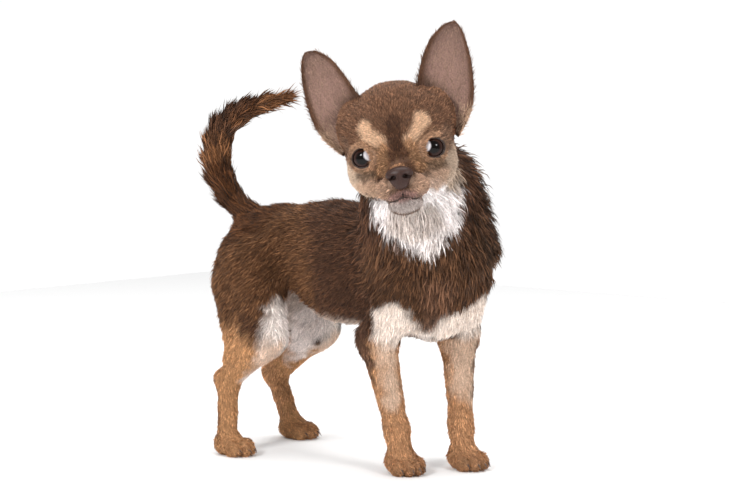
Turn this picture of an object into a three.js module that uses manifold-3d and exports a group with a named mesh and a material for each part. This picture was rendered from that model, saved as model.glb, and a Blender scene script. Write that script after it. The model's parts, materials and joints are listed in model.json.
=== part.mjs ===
// A standing chihuahua, life size, as a museum model: chocolate and tan, short coat, brushy tail carried up,
// head turned to its right. Millimetres, +Z up, +X the way the body faces, +Y its left side.
// The flesh is one smooth form made of bones and muscles. It is skinned region by region and
// parted by thin flat cuts, so that every named part meets the next one face to face.
import * as THREE from 'three';
import { mergeVertices } from 'three/addons/utils/BufferGeometryUtils.js';
import Module from 'manifold-3d';

const wasm = await Module();
wasm.setup();

// Driving dimensions
const GAP = 0.3;               // left between two parts that touch
const WITHERS_HEIGHT = 206;    // floor to the top of the shoulders
const ELBOW_HEIGHT = 0.5 * WITHERS_HEIGHT;
const SHOULDER_HEIGHT = 0.72 * WITHERS_HEIGHT;
const HIP_HEIGHT = 0.73 * WITHERS_HEIGHT;
const KNEE_HEIGHT = 0.475 * WITHERS_HEIGHT;
const HOCK_HEIGHT = 0.29 * WITHERS_HEIGHT;
const WRIST_HEIGHT = 0.165 * WITHERS_HEIGHT;
const CHEST_WIDTH = 80;
const PAW_WIDTH = 27;
const HEAD_ROLL = 9.2;         // degrees, left side up
const HEAD_WIDTH = 84;         // across the cheeks
const EYE_SPACING = 50;
const EYE_RADIUS = 9.6;
const EYE_DEPTH = 8;           // middle of the ball behind the plane of the corneas
const LID = 1.3;               // thickness of the lids over the ball
const EAR_WALL = 2.2;
const EAR_ROOT = { y: 38, z: 30 };       // the ear leans outward about this place, in degrees
const EAR_LEAN = { left: 0, right: 5 };
const EAR_DRAWN = { left: 0, right: 4 };  // how much flatter its inner edge and lower its tip is

// Where the regions stand on the floor plan and which way each one faces, in degrees
const PELVIS = { x: -90, y: -5, heading: 9 };
const LOIN = { x: -18, y: 6, heading: -2 };
const CHEST = { x: 73, y: 5, heading: -18 };
const HEAD = { x: 100, y: -66, z: 247, heading: -55, roll: HEAD_ROLL };
const PAWS = {
  front_right: { x: 67, y: -18, heading: -20, width: PAW_WIDTH },
  front_left: { x: 92, y: 29, heading: -14, width: PAW_WIDTH },
  hind_right: { x: -88, y: -44, heading: 6, width: PAW_WIDTH - 2 },
  hind_left: { x: -101, y: 48, heading: 10, width: PAW_WIDTH - 2 },
};

const COLOURS = {
  chocolate: 0x4b3428,
  tan: 0xa9805c,
  cream: 0xd8c6b0,
  ear: 0x6a5046,
  eye: 0x160f0c,
  nose: 0x4a322b,
  claw: 0x3a2a22,
};

const rad = THREE.MathUtils.degToRad;
const v = (x, y, z) => new THREE.Vector3(x, y, z);
const mix = (a, b, t) => a + (b - a) * t;

/** A local frame: x the way it faces, y its left, z up. */
function frameAt({ x, y, z = 0, heading = 0, roll = 0, pitch = 0 }) {
  const turn = new THREE.Quaternion()
    .setFromAxisAngle(v(0, 0, 1), rad(heading))
    .multiply(new THREE.Quaternion().setFromAxisAngle(v(0, 1, 0), rad(-pitch)))
    .multiply(new THREE.Quaternion().setFromAxisAngle(v(1, 0, 0), rad(roll)));
  return new THREE.Matrix4().compose(v(x, y, z), turn, v(1, 1, 1));
}

const pelvis = frameAt(PELVIS);
const loin = frameAt(LOIN);
const chest = frameAt(CHEST);
const head = frameAt(HEAD);
const from = (frame, x, y, z) => v(x, y, z).applyMatrix4(frame);
const both = (make) => [make(1), make(-1)];

// Forms: each is a function of a point that is negative inside

/** An ellipsoid in a frame, tipped nose-up by pitch degrees. */
function egg(frame, [cx, cy, cz], [a, b, c], pitch = 0, yaw = 0) {
  const local = frameAt({ x: cx, y: cy, z: cz, heading: yaw, pitch });
  const m = new THREE.Matrix4().multiplyMatrices(frame, local).invert().elements;
  return (x, y, z) => {
    const p = (m[0] * x + m[4] * y + m[8] * z + m[12]) / a;
    const q = (m[1] * x + m[5] * y + m[9] * z + m[13]) / b;
    const r = (m[2] * x + m[6] * y + m[10] * z + m[14]) / c;
    const near = Math.hypot(p, q, r);
    if (near < 1e-6) return -Math.min(a, b, c);
    return (near * (near - 1)) / Math.hypot(p / a, q / b, r / c);
  };
}

/** A round bar that tapers from radius r1 at point a to r2 at point b. */
function bar(a, b, r1, r2) {
  const d = b.clone().sub(a);
  const length2 = d.lengthSq();
  const taper = r1 - r2;
  const slope2 = length2 - taper * taper;
  return (x, y, z) => {
    const px = x - a.x;
    const py = y - a.y;
    const pz = z - a.z;
    const s = px * d.x + py * d.y + pz * d.z;
    const t = s - length2;
    const side2 = (px * length2 - d.x * s) ** 2 + (py * length2 - d.y * s) ** 2 + (pz * length2 - d.z * s) ** 2;
    const k = Math.sign(taper) * taper * taper * side2;
    if (Math.sign(t) * slope2 * t * t * length2 > k) return Math.sqrt(side2 + t * t * length2) / length2 - r2;
    if (Math.sign(s) * slope2 * s * s * length2 < k) return Math.sqrt(side2 + s * s * length2) / length2 - r1;
    return (Math.sqrt((side2 * slope2) / length2) + s * taper) / length2 - r1;
  };
}

/** Forms run together with a soft join k millimetres wide. */
function blend(k, ...forms) {
  return (x, y, z) => {
    let d = forms[0](x, y, z);
    for (let i = 1; i < forms.length; i += 1) {
      const e = forms[i](x, y, z);
      const h = Math.max(k - Math.abs(d - e), 0) / k;
      d = Math.min(d, e) - (h * h * k) / 4;
    }
    return d;
  };
}

// Trunk
const half = CHEST_WIDTH / 2;
const trunk = blend(16,
  egg(chest, [-26, 0, 154], [54, half - 2, 52]),
  egg(chest, [8, 0, 142], [27, 31, 40]),
  egg(chest, [-34, 0, 184], [36, 20, 25]),
  egg(loin, [0, 0, 168], [62, 31, 38]),
  egg(loin, [10, 0, 148], [54, 33, 40]),
  egg(pelvis, [3, 0, 164], [33, 30, 32], -6),
  egg(pelvis, [22, 0, 168], [34, 27, 31], -4),
  ...both((s) => egg(pelvis, [-10, s * 15, 144], [20, 18, 29], 8)),
);

// Head, in its own frame: 0 is midway between the eyes
const cheek = HEAD_WIDTH / 2;
const eyeAt = (s) => v(-EYE_DEPTH, (s * EYE_SPACING) / 2, 0);
const skull = blend(9,
  egg(head, [-30, 0, 14], [37, cheek - 3, 39]),
  egg(head, [-14, 0, 22], [20, 27, 24]),
  ...both((s) => egg(head, [-29, s * (cheek - 11), 22], [19, 13, 20])),
  ...both((s) => egg(head, [-28, s * (cheek - 19), -10], [23, 18, 20])),
  ...both((s) => egg(head, [-13, s * 20, 4], [15, 15, 14])),
);
const muzzle = blend(5,
  bar(from(head, -12, 0, -20), from(head, 10, 0, -18), 16, 10.5),
  ...both((s) => egg(head, [5, s * 9, -25], [14, 11, 8.5])),
  egg(head, [2, 0, -37], [14, 13, 8.5]),
);
const lids = both((s) => {
  const r = EYE_RADIUS + LID;
  return egg(head, eyeAt(s).toArray(), [r, r, r]);
});
const headForm = blend(3, blend(6, skull, muzzle), ...lids);
const noseForm = blend(3,
  egg(head, [18, 0, -15], [5.8, 10, 5.8]),
  egg(head, [18.5, 0, -20], [5.2, 6.5, 6]),
);

// Neck
const neckForm = blend(14,
  bar(v(58, 6, 176), v(71, -12, 222), 42, 37),
  bar(v(71, -12, 222), from(head, -40, 0, -4), 37, 30),
  bar(from(chest, 14, 0, 162), from(head, -24, 0, -24), 30, 18),
  bar(v(90, 32, 172), v(79, 17, 229), 23, 18),
);

/** One paw: an instep, a pad and four toes, standing on the floor. */
function pawForm(name) {
  const { width } = PAWS[name];
  const at = frameAt(PAWS[name]);
  return blend(3.2,
    egg(at, [-3, 0, 8], [14, width / 2 - 1, 9.5]),
    ...TOES.map((n) => {
      const toe = toeAt(n, width);
      return egg(at, toe.toArray(), [8.5, width * 0.16, 7.4]);
    }),
  );
}

// Legs. Joints are given in the frame of the chest or the pelvis
const TOES = [-1.5, -0.5, 0.5, 1.5];
const toeAt = (n, width) => v(11.5 - 2.4 * n * n, n * width * 0.245, 6.2);
const FORELEGS = {
  right: { shoulder: [10, -28, SHOULDER_HEIGHT], elbow: [-15.5, -36.5, ELBOW_HEIGHT], wrist: [-4, -26.5, WRIST_HEIGHT] },
  left: { shoulder: [12, 28, SHOULDER_HEIGHT], elbow: [-5, 31, ELBOW_HEIGHT], wrist: [2, 29, WRIST_HEIGHT] },
};
const HIND_LEGS = {
  right: { knee: [22, -36, KNEE_HEIGHT], calf: [0, -36, 84], hock: [-10, -37, HOCK_HEIGHT] },
  left: { knee: [22, 43, KNEE_HEIGHT], calf: [-6, 49, 86], hock: [-24, 53, HOCK_HEIGHT - 6] },
};

function forelegForm(side) {
  const joint = FORELEGS[side];
  const [shoulder, elbow, wrist] = [joint.shoulder, joint.elbow, joint.wrist].map((p) => from(chest, ...p));
  const foot = from(frameAt(PAWS[`front_${side}`]), -4, 0, 12);
  return blend(7,
    blend(10, bar(shoulder, elbow, 18, 15), bar(elbow, wrist, 14.2, 9)),
    bar(wrist, foot, 9.2, 10),
    pawForm(`front_${side}`),
  );
}

function hindLegForm(side) {
  const s = side === 'left' ? 1 : -1;
  const joint = HIND_LEGS[side];
  const hip = from(pelvis, 5, s * 20, HIP_HEIGHT);
  const buttock = from(pelvis, -10, s * 24, 134);
  const [knee, calf, hock] = [joint.knee, joint.calf, joint.hock].map((p) => from(pelvis, ...p));
  const foot = from(frameAt(PAWS[`hind_${side}`]), -6, 0, 12);
  const heel = hock.clone().add(v(-7, 0, 2));
  return blend(7,
    blend(12, bar(hip, knee, 28, 19), bar(buttock, calf, 20, 11), bar(knee, hock, 18, 9.5)),
    blend(5, bar(hock, foot, 8.6, 8), bar(hock, heel, 7, 6)),
    pawForm(`hind_${side}`),
  );
}

// Tail: its line in the frame of the pelvis, with the radius of the coat at each place
const TAIL = [
  [-6, 176, 15], [-16, 190, 14.5], [-29, 202, 14.5], [-39.5, 217, 15], [-44.5, 231, 15.5], [-45, 244, 15.5],
  [-42, 256, 15], [-33, 266, 14], [-21, 274, 12.5], [-4, 280, 10], [12, 284, 7], [24, 287, 3],
].map(([x, z, r]) => ({ at: from(pelvis, x, 0, z), r }));
const tailForm = blend(2, ...TAIL.slice(1).map((p, i) => bar(TAIL[i].at, p.at, TAIL[i].r, p.r)));

const flesh = blend(8,
  blend(10,
    blend(14, trunk, forelegForm('right'), forelegForm('left'), hindLegForm('right'), hindLegForm('left')),
    neckForm,
  ),
  headForm,
  tailForm,
);

// Skinning

/** Numbers through the given stops, evenly spaced between them and about step apart. */
function ticks(step, ...stops) {
  const out = [stops[0]];
  for (let s = 1; s < stops.length; s += 1) {
    const n = Math.max(1, Math.round((stops[s] - stops[s - 1]) / step));
    for (let i = 1; i <= n; i += 1) out.push(mix(stops[s - 1], stops[s], i / n));
  }
  return out;
}

/** Empties the shallower corner wherever two full corners of a grid face touch only across its diagonal. */
function parcel(value, nx, ny, nz) {
  const strides = [1, nx, nx * ny];
  let left = 1;
  while (left) {
    left = 0;
    for (let k = 0; k < nz - 1; k += 1) {
      for (let j = 0; j < ny - 1; j += 1) {
        for (let i = 0; i < nx - 1; i += 1) {
          const here = i + nx * (j + ny * k);
          for (let axis = 0; axis < 3; axis += 1) {
            const [p, q] = [strides[axis], strides[(axis + 1) % 3]];
            const ring = [here, here + p, here + p + q, here + q];
            const full = ring.filter((n) => value[n] < 0);
            if (full.length !== 2 || value[ring[0]] < 0 !== value[ring[2]] < 0) continue;
            value[value[full[0]] > value[full[1]] ? full[0] : full[1]] = 0.01;
            left += 1;
          }
        }
      }
    }
  }
}

/** Skins a form over a grid in a frame: a closed surface, one vertex in each cell that it crosses. */
function skin(form, frame, xs, ys, zs, level = 0) {
  const [nx, ny, nz] = [xs.length, ys.length, zs.length];
  const m = frame.elements;
  const value = new Float32Array(nx * ny * nz);
  const at = (i, j, k) => i + nx * (j + ny * k);
  for (let k = 0; k < nz; k += 1) {
    for (let j = 0; j < ny; j += 1) {
      for (let i = 0; i < nx; i += 1) {
        const [x, y, z] = [xs[i], ys[j], zs[k]];
        const rim = !i || !j || !k || i === nx - 1 || j === ny - 1 || k === nz - 1;
        const d = form(
          m[0] * x + m[4] * y + m[8] * z + m[12],
          m[1] * x + m[5] * y + m[9] * z + m[13],
          m[2] * x + m[6] * y + m[10] * z + m[14],
        ) - level;
        value[at(i, j, k)] = rim ? Math.max(d, 0.01) : d;
      }
    }
  }
  parcel(value, nx, ny, nz);
  const steps = [[1, 0, 0], [0, 1, 0], [0, 0, 1]];
  const vertex = new Int32Array(value.length).fill(-1);
  const points = [];
  for (let k = 0; k < nz - 1; k += 1) {
    for (let j = 0; j < ny - 1; j += 1) {
      for (let i = 0; i < nx - 1; i += 1) {
        const sum = [0, 0, 0];
        let crossings = 0;
        steps.forEach((step, axis) => {
          for (let c = 0; c < 4; c += 1) {
            const lo = [i, j, k];
            lo[(axis + 1) % 3] += c & 1;
            lo[(axis + 2) % 3] += c >> 1;
            const hi = lo.map((n, q) => n + step[q]);
            const a = value[at(...lo)];
            const b = value[at(...hi)];
            if (a < 0 === b < 0) continue;
            const t = a / (a - b);
            crossings += 1;
            sum[0] += mix(xs[lo[0]], xs[hi[0]], t);
            sum[1] += mix(ys[lo[1]], ys[hi[1]], t);
            sum[2] += mix(zs[lo[2]], zs[hi[2]], t);
          }
        });
        if (!crossings) continue;
        vertex[at(i, j, k)] = points.length / 3;
        points.push(...sum.map((n) => n / crossings));
      }
    }
  }
  const faces = [];
  for (let k = 0; k < nz - 1; k += 1) {
    for (let j = 0; j < ny - 1; j += 1) {
      for (let i = 0; i < nx - 1; i += 1) {
        const inside = value[at(i, j, k)] < 0;
        steps.forEach((step, axis) => {
          if (inside === value[at(i + step[0], j + step[1], k + step[2])] < 0) return;
          const [b, c] = [steps[(axis + 1) % 3], steps[(axis + 2) % 3]];
          const cell = (p, q) => vertex[at(i - p * b[0] - q * c[0], j - p * b[1] - q * c[1], k - p * b[2] - q * c[2])];
          const ring = [cell(1, 1), cell(0, 1), cell(0, 0), cell(1, 0)];
          if (!inside) ring.reverse();
          faces.push(ring[0], ring[1], ring[2], ring[0], ring[2], ring[3]);
        });
      }
    }
  }
  const geometry = new THREE.BufferGeometry();
  geometry.setAttribute('position', new THREE.Float32BufferAttribute(points, 3));
  geometry.setIndex(faces);
  return solid(geometry.applyMatrix4(frame));
}

/** A closed geometry as a solid that can be joined and cut. */
function solid(geometry) {
  const bare = geometry.clone();
  bare.deleteAttribute('normal');
  bare.deleteAttribute('uv');
  const merged = mergeVertices(bare, 1e-4);
  return new wasm.Manifold(new wasm.Mesh({
    numProp: 3,
    vertProperties: new Float32Array(merged.attributes.position.array),
    triVerts: new Uint32Array(merged.index.array),
  }));
}

/** A closed body through rings of points, each ring given counter-clockwise as seen from the last one. */
function loft(rings) {
  const n = rings[0].length;
  const points = rings.flat();
  const faces = [];
  for (let r = 0; r < rings.length - 1; r += 1) {
    for (let i = 0; i < n; i += 1) {
      const [a, b] = [r * n + i, r * n + ((i + 1) % n)];
      faces.push(a, b, b + n, a, b + n, a + n);
    }
  }
  const end = (rings.length - 1) * n;
  for (let i = 1; i < n - 1; i += 1) {
    faces.push(0, i + 1, i);
    faces.push(end, end + i, end + i + 1);
  }
  const geometry = new THREE.BufferGeometry().setFromPoints(points);
  geometry.setIndex(faces);
  return solid(geometry);
}

const ball = (centre, radius, detail = 15) => solid(
  new THREE.SphereGeometry(radius, detail, Math.round(detail * 0.7)).translate(...centre.toArray()),
);

/** The part of a body on the far side of a cut: from point p, in direction n, less half a gap. */
function beyond(body, p, n, sign = 1) {
  const unit = n.clone().normalize().multiplyScalar(sign);
  return body.trimByPlane(unit.toArray(), unit.dot(p) + GAP / 2);
}
const onFloor = (body) => body.trimByPlane([0, 0, 1], 0);

// Cuts between parts: a point on each and the way out of the trunk, or out of the part above
const direct = (frame, x, y, z) => v(x, y, z).transformDirection(frame);
const CUTS = {
  neck: { at: from(chest, -4, 0, 190), out: direct(chest, 0.5, 0, 0.86) },
  head: { at: from(head, -40, 0, -27), out: direct(head, 0.62, 0, 0.78) },
  tail: { at: from(pelvis, -22, 0, 193), out: direct(pelvis, -0.72, 0, 0.7) },
  tail_upper: { at: from(pelvis, -47, 0, 240), out: direct(pelvis, 0.05, 0, 1) },
  tail_tip: { at: from(pelvis, -28, 0, 270), out: direct(pelvis, 0.8, 0, 0.6) },
};
for (const [side, s] of [['left', 1], ['right', -1]]) {
  CUTS[`foreleg_${side}`] = { at: from(chest, -8, s * 17, 101), out: direct(loin, 0.15, s * 0.6, -0.78) };
  CUTS[`forepaw_${side}`] = { at: from(chest, ...FORELEGS[side].wrist).add(v(0, 0, -8)), out: v(0, 0, -1) };
  CUTS[`thigh_${side}`] = { at: from(pelvis, 12, s * 12, 129), out: direct(pelvis, -0.42, s * 0.3, -0.85) };
  const [knee, hock] = [HIND_LEGS[side].knee, HIND_LEGS[side].hock].map((p) => from(pelvis, ...p));
  CUTS[`shank_${side}`] = { at: knee.clone().lerp(hock, 0.22), out: hock.clone().sub(knee) };
  CUTS[`hind_paw_${side}`] = { at: hock.clone().add(v(0, 0, -12)), out: v(0.1, 0, -1) };
}
const past = (body, cut) => beyond(body, CUTS[cut].at, CUTS[cut].out);
const before = (body, cut) => beyond(body, CUTS[cut].at, CUTS[cut].out, -1);

const FOOTPRINT = v(-10, -12, 0);   // the middle of the model's box on the floor, which becomes the origin
const dog = new THREE.Group();

/** Adds the largest closed body of a solid to the model, as a named mesh. */
function add(name, made, colour, roughness = 0.9) {
  const body = made.decompose().sort((a, b) => b.volume() - a.volume())[0];
  const mesh = body.getMesh();
  const geometry = new THREE.BufferGeometry();
  geometry.setAttribute('position', new THREE.BufferAttribute(mesh.vertProperties, 3));
  geometry.setIndex(new THREE.BufferAttribute(mesh.triVerts, 1));
  geometry.translate(...FOOTPRINT.clone().negate().toArray());
  geometry.computeVertexNormals();
  const part = new THREE.Mesh(geometry, new THREE.MeshStandardMaterial({ color: colour, roughness, metalness: 0 }));
  part.name = name;
  dog.add(part);
  return body;
}

// Trunk and neck
let trunkBody = skin(flesh, loin, ticks(10.5, -125, 135), ticks(9.2, -75, 75), ticks(10, 85, 215));
for (const cut of ['neck', 'tail', 'foreleg_left', 'foreleg_right', 'thigh_left', 'thigh_right']) {
  trunkBody = before(trunkBody, cut);
}
add('torso', trunkBody, COLOURS.chocolate);

const neckBox = frameAt({ x: 66, y: -8, z: 205, heading: -30 });
add('neck', before(past(skin(flesh, neckBox, ticks(9, -60, 72), ticks(9, -62, 62), ticks(9, -40, 66)), 'neck'), 'head'),
  COLOURS.chocolate);

// Head, with its eyes, nose, mouth and ears
const eyes = both((s) => from(head, ...eyeAt(s).toArray()));

/** The opening between the lids: an oval passage straight out from the ball. */
function aperture(s) {
  const oval = new THREE.CylinderGeometry(1, 1, 30, 24).rotateZ(Math.PI / 2).translate(15, 0, 0);
  oval.scale(1, 7.8, 7.1);
  oval.rotateX(rad(s * -8)).rotateZ(rad(s * 12)).translate(...eyeAt(s).toArray());
  return solid(oval.applyMatrix4(head));
}

/** The line of the mouth: a thin wedge that follows the lips from corner to corner. */
function mouthCut() {
  const line = new THREE.CatmullRomCurve3([
    v(-9, -24, -28), v(3, -18, -33), v(12, -9, -34.5), v(17, 0, -32), v(12, 9, -34.5), v(3, 18, -33), v(-9, 24, -28),
  ]);
  const rings = line.getPoints(22).map((p) => {
    const outward = v(p.x + 8, p.y, 0).normalize();
    const [outer, inner] = [p.clone().addScaledVector(outward, 4), p.clone().addScaledVector(outward, -4)];
    return [outer.clone().add(v(0, 0, 0.9)), outer.clone().add(v(0, 0, -0.9)), inner.clone().add(v(0, 0, -0.1)), inner.clone().add(v(0, 0, 0.1))];
  });
  return loft(rings.map((ring) => ring.map((p) => p.applyMatrix4(head))));
}

let headBody = skin(flesh, head,
  ticks(7.5, -78, -18).concat(ticks(3.9, -18, 26).slice(1)), ticks(5.1, -56, 56), ticks(5.1, -52, 62));
headBody = past(headBody, 'head');
both((s) => s).forEach((s, i) => {
  headBody = headBody.subtract(aperture(s)).subtract(ball(eyes[i], EYE_RADIUS + GAP));
});
const noseGrid = [ticks(3.2, 8, 28), ticks(3.2, -12, 12), ticks(3.2, -28, -6)];
headBody = headBody.subtract(skin(noseForm, head, ...noseGrid, GAP)).subtract(mouthCut());
add('head', headBody, COLOURS.chocolate);
['left', 'right'].forEach((side, i) => add(`eye_${side}`, ball(eyes[i], EYE_RADIUS), COLOURS.eye, 0.08));

const nostrils = both((s) => solid(new THREE.SphereGeometry(1.8, 10, 8).scale(1.6, 1, 0.75)
  .rotateX(rad(s * -25)).rotateZ(rad(s * 30)).translate(22.6, s * 4.2, -16.5).applyMatrix4(head)));
add('nose', skin(noseForm, head, ...noseGrid).subtract(nostrils[0]).subtract(nostrils[1]), COLOURS.nose, 0.45);

/** One ear: a cupped leaf between an inner and an outer edge, open to the front, thinner to the rim. */
function ear(s) {
  const side = s > 0 ? 'left' : 'right';
  const [lean, drawn] = [rad(EAR_LEAN[side]), EAR_DRAWN[side]];
  const tip = (y, z) => [
    EAR_ROOT.y + (y - EAR_ROOT.y) * Math.cos(lean) + (z - EAR_ROOT.z) * Math.sin(lean),
    EAR_ROOT.z + (z - EAR_ROOT.z) * Math.cos(lean) - (y - EAR_ROOT.y) * Math.sin(lean),
  ];
  const edge = (points, flat) => new THREE.CatmullRomCurve3(points.map(([x, y0, z0]) => {
    const high = Math.max(0, (z0 - EAR_ROOT.z) / 59);
    const [y, z] = tip(y0 + flat * drawn * Math.sin(Math.PI * high), z0 - 0.8 * drawn * high ** 2);
    return v(x, s * y, z);
  }));
  const inner = edge([[-18, 15, 32], [-24, 21, 48], [-28, 26, 63], [-32, 34, 77], [-34, 44, 86], [-35, 52, 89]], 1);
  const outer = edge([
    [-22, 44, 4], [-23, 54, 18], [-25, 59.5, 32], [-29, 61.5, 50], [-32, 61, 66], [-34, 58.5, 81], [-35, 54.5, 89],
  ], 0);
  const [rows, across] = [9, 7];
  const rings = [];
  for (let r = 0; r <= rows; r += 1) {
    const t = r / rows;
    const [a, b] = [inner.getPoint(t), outer.getPoint(t)];
    const middle = a.clone().lerp(b, 0.5);
    const reach = b.clone().sub(a).multiplyScalar(0.5);
    const depth = mix(17, 3, t) * Math.min(1, reach.length() / 6);
    const wall = mix(EAR_WALL, 1.2, t);
    const front = [];
    const back = [];
    for (let c = 0; c <= across; c += 1) {
      const w = -Math.cos((Math.PI * c) / across);
      const bow = Math.sqrt(1 - w * w);
      const p = middle.clone().addScaledVector(reach, w);
      const rim = 0.35 + 0.65 * bow;
      front.push(p.clone().add(v(-depth * bow, 0, 0)));
      back.push(p.clone().add(v(-depth * bow - wall * rim, 0, 0)).addScaledVector(reach.clone().normalize(), w * wall * 0.3));
    }
    const ring = [...front, ...back.reverse()];
    rings.push(s > 0 ? ring : ring.reverse());
  }
  return loft(rings.map((ring) => ring.map((p) => p.applyMatrix4(head))));
}
const headBlock = skin(flesh, head, ticks(4, -78, 28), ticks(4, -56, 56), ticks(4, -70, 60), GAP);
['left', 'right'].forEach((side, i) => add(`ear_${side}`, ear(i ? -1 : 1).subtract(headBlock), COLOURS.ear));

// Legs, paws and claws

/** A claw: a tapering hook out of the front of a toe. */
function claw(at, toe, grow = 0) {
  const [root, knuckle, point] = [v(3.5, 0, 0.8), v(8.5, 0, 1.4), v(10.5, 0, -3)].map((p) => p.add(toe));
  const path = new THREE.QuadraticBezierCurve3(root, knuckle, point);
  const rings = path.getPoints(3).map((p, i) => {
    const r = mix(1.5, 0.35, i / 3) + grow;
    return Array.from({ length: 6 }, (_, j) => {
      const a = (-Math.PI * j) / 3;
      return p.clone().add(v(Math.sin(a) * 0.5 * r, Math.cos(a) * r, Math.sin(a) * -r * 1.2)).applyMatrix4(at);
    });
  });
  return loft(rings);
}

/** Adds the claws of a paw and returns the paw with a seat cut for each. */
function withClaws(name, body) {
  const at = frameAt(PAWS[name]);
  let paw = body;
  TOES.forEach((n, i) => {
    const toe = toeAt(n, PAWS[name].width);
    add(`claw_${name}_${i + 1}`, claw(at, toe), COLOURS.claw, 0.5);
    paw = paw.subtract(claw(at, toe, GAP));
  });
  return paw;
}

for (const side of ['left', 'right']) {
  const { elbow } = FORELEGS[side];
  const fore = frameAt({ ...CHEST });
  const [, ey] = elbow;
  const legSkin = skin(flesh, fore, ticks(6, -42, 40), ticks(6, ey - 32, ey + 28), ticks(9, 16, 135));
  add(`foreleg_${side}`, before(past(legSkin, `foreleg_${side}`), `forepaw_${side}`), COLOURS.tan);
  const at = frameAt(PAWS[`front_${side}`]);
  const pawSkin = skin(flesh, at, ticks(5.2, -22, 26), ticks(4.6, -20, 20), ticks(5, -3, 34));
  add(`forepaw_${side}`, onFloor(withClaws(`front_${side}`, past(pawSkin, `forepaw_${side}`))), COLOURS.tan);

  const s = side === 'left' ? 1 : -1;
  const thighSkin = skin(flesh, pelvis, ticks(8.5, -46, 62), s > 0 ? ticks(8.5, GAP, 74) : ticks(8.5, -66, -GAP), ticks(8.5, 66, 172));
  add(`thigh_${side}`, before(past(thighSkin, `thigh_${side}`), `shank_${side}`), COLOURS.chocolate);
  const { knee, hock } = HIND_LEGS[side];
  const shankGrid = [ticks(6.5, hock[0] - 20, knee[0] + 28), ticks(6.5, hock[1] - 26, hock[1] + 26), ticks(7, 34, 122)];
  add(`shank_${side}`, before(past(skin(flesh, pelvis, ...shankGrid), `shank_${side}`), `hind_paw_${side}`), COLOURS.tan);
  const hind = frameAt(PAWS[`hind_${side}`]);
  const hindSkin = skin(flesh, hind, ticks(5.6, -42, 26), ticks(4.7, -20, 20), ticks(6, -3, 62));
  add(`hind_paw_${side}`, onFloor(withClaws(`hind_${side}`, past(hindSkin, `hind_paw_${side}`))), COLOURS.tan);
}

// Tail
const tailBox = (x0, x1, z0, z1) => skin(flesh, pelvis, ticks(6.5, x0, x1), ticks(6.5, -24, 24), ticks(6.5, z0, z1));
add('tail_base', before(past(tailBox(-70, 4, 170, 252), 'tail'), 'tail_upper'), COLOURS.chocolate);
add('tail_middle', before(past(tailBox(-70, 0, 224, 296), 'tail_upper'), 'tail_tip'), COLOURS.chocolate);
add('tail_tip', past(tailBox(-52, 34, 250, 300), 'tail_tip'), COLOURS.chocolate);

export default dog;
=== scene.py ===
"""A life-size chihuahua: one skin, a coat of fine tufts, wet eyes, a leather nose and horn claws."""
from __future__ import annotations

import json
import logging
import math
from dataclasses import dataclass, field
from enum import Enum
from typing import Callable, Sequence

import bpy
import numpy as np
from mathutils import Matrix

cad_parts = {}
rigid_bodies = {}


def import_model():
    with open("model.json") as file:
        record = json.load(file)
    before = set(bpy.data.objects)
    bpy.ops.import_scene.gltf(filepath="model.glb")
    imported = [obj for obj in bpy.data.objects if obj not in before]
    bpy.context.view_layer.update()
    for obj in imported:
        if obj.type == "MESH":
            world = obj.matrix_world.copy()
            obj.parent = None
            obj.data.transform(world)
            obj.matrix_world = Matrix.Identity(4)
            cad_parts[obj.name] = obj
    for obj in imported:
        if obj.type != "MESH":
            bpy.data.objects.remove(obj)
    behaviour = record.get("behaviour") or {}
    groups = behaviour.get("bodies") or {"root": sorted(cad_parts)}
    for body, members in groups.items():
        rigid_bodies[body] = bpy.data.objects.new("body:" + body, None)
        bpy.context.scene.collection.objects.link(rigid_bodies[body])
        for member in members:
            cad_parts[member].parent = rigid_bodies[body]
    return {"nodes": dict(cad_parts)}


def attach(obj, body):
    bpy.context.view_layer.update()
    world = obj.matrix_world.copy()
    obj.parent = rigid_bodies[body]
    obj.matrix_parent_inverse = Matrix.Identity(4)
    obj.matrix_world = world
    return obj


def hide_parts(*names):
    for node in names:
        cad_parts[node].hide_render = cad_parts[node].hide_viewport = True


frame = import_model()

logging.basicConfig(level=logging.INFO, format="%(message)s")
log = logging.getLogger("chihuahua")

Points = np.ndarray
Form = Callable[[Points], np.ndarray]

MM = 0.001
SEED = 11
AT_ONCE = 250000  # places that a form is worked out for in one go
FOOTPRINT = np.array([-10.0, -12.0, 0.0])  # middle of the box on the floor, in the body's own plan

# Driving sizes of the body, in millimetres and degrees
WITHERS_HEIGHT = 206.0
ELBOW_HEIGHT = 0.5 * WITHERS_HEIGHT
SHOULDER_HEIGHT = 0.72 * WITHERS_HEIGHT
HIP_HEIGHT = 0.73 * WITHERS_HEIGHT
KNEE_HEIGHT = 0.475 * WITHERS_HEIGHT
HOCK_HEIGHT = 0.29 * WITHERS_HEIGHT
WRIST_HEIGHT = 0.165 * WITHERS_HEIGHT
CHEST_WIDTH = 80.0
PAW_WIDTH = 27.0
HEAD_WIDTH = 84.0
EYE_SPACING = 50.0
EYE_RADIUS = 9.6
EYE_DEPTH = 8.0
HEAD_HEADING = -55.0
HEAD_ROLL = 9.2
HEAD_REACH = 60.0


def linear(colour: str) -> np.ndarray:
    """Turns an sRGB hex colour such as "4b3428" into linear red, green and blue."""
    c = np.array([int(colour[i:i + 2], 16) / 255.0 for i in (0, 2, 4)])
    return np.where(c <= 0.04045, c / 12.92, ((c + 0.055) / 1.055) ** 2.4)


def toward(colour: np.ndarray, shade: str, share: np.ndarray) -> np.ndarray:
    """A colour for each point, turned toward a shade by each point's share."""
    return colour + (linear(shade) - colour) * share[:, None]


def smooth(x: np.ndarray, low: float, high: float) -> np.ndarray:
    """A soft step from 0 at low to 1 at high."""
    t = np.clip((x - low) / (high - low), 0.0, 1.0)
    return t * t * (3.0 - 2.0 * t)


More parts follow.
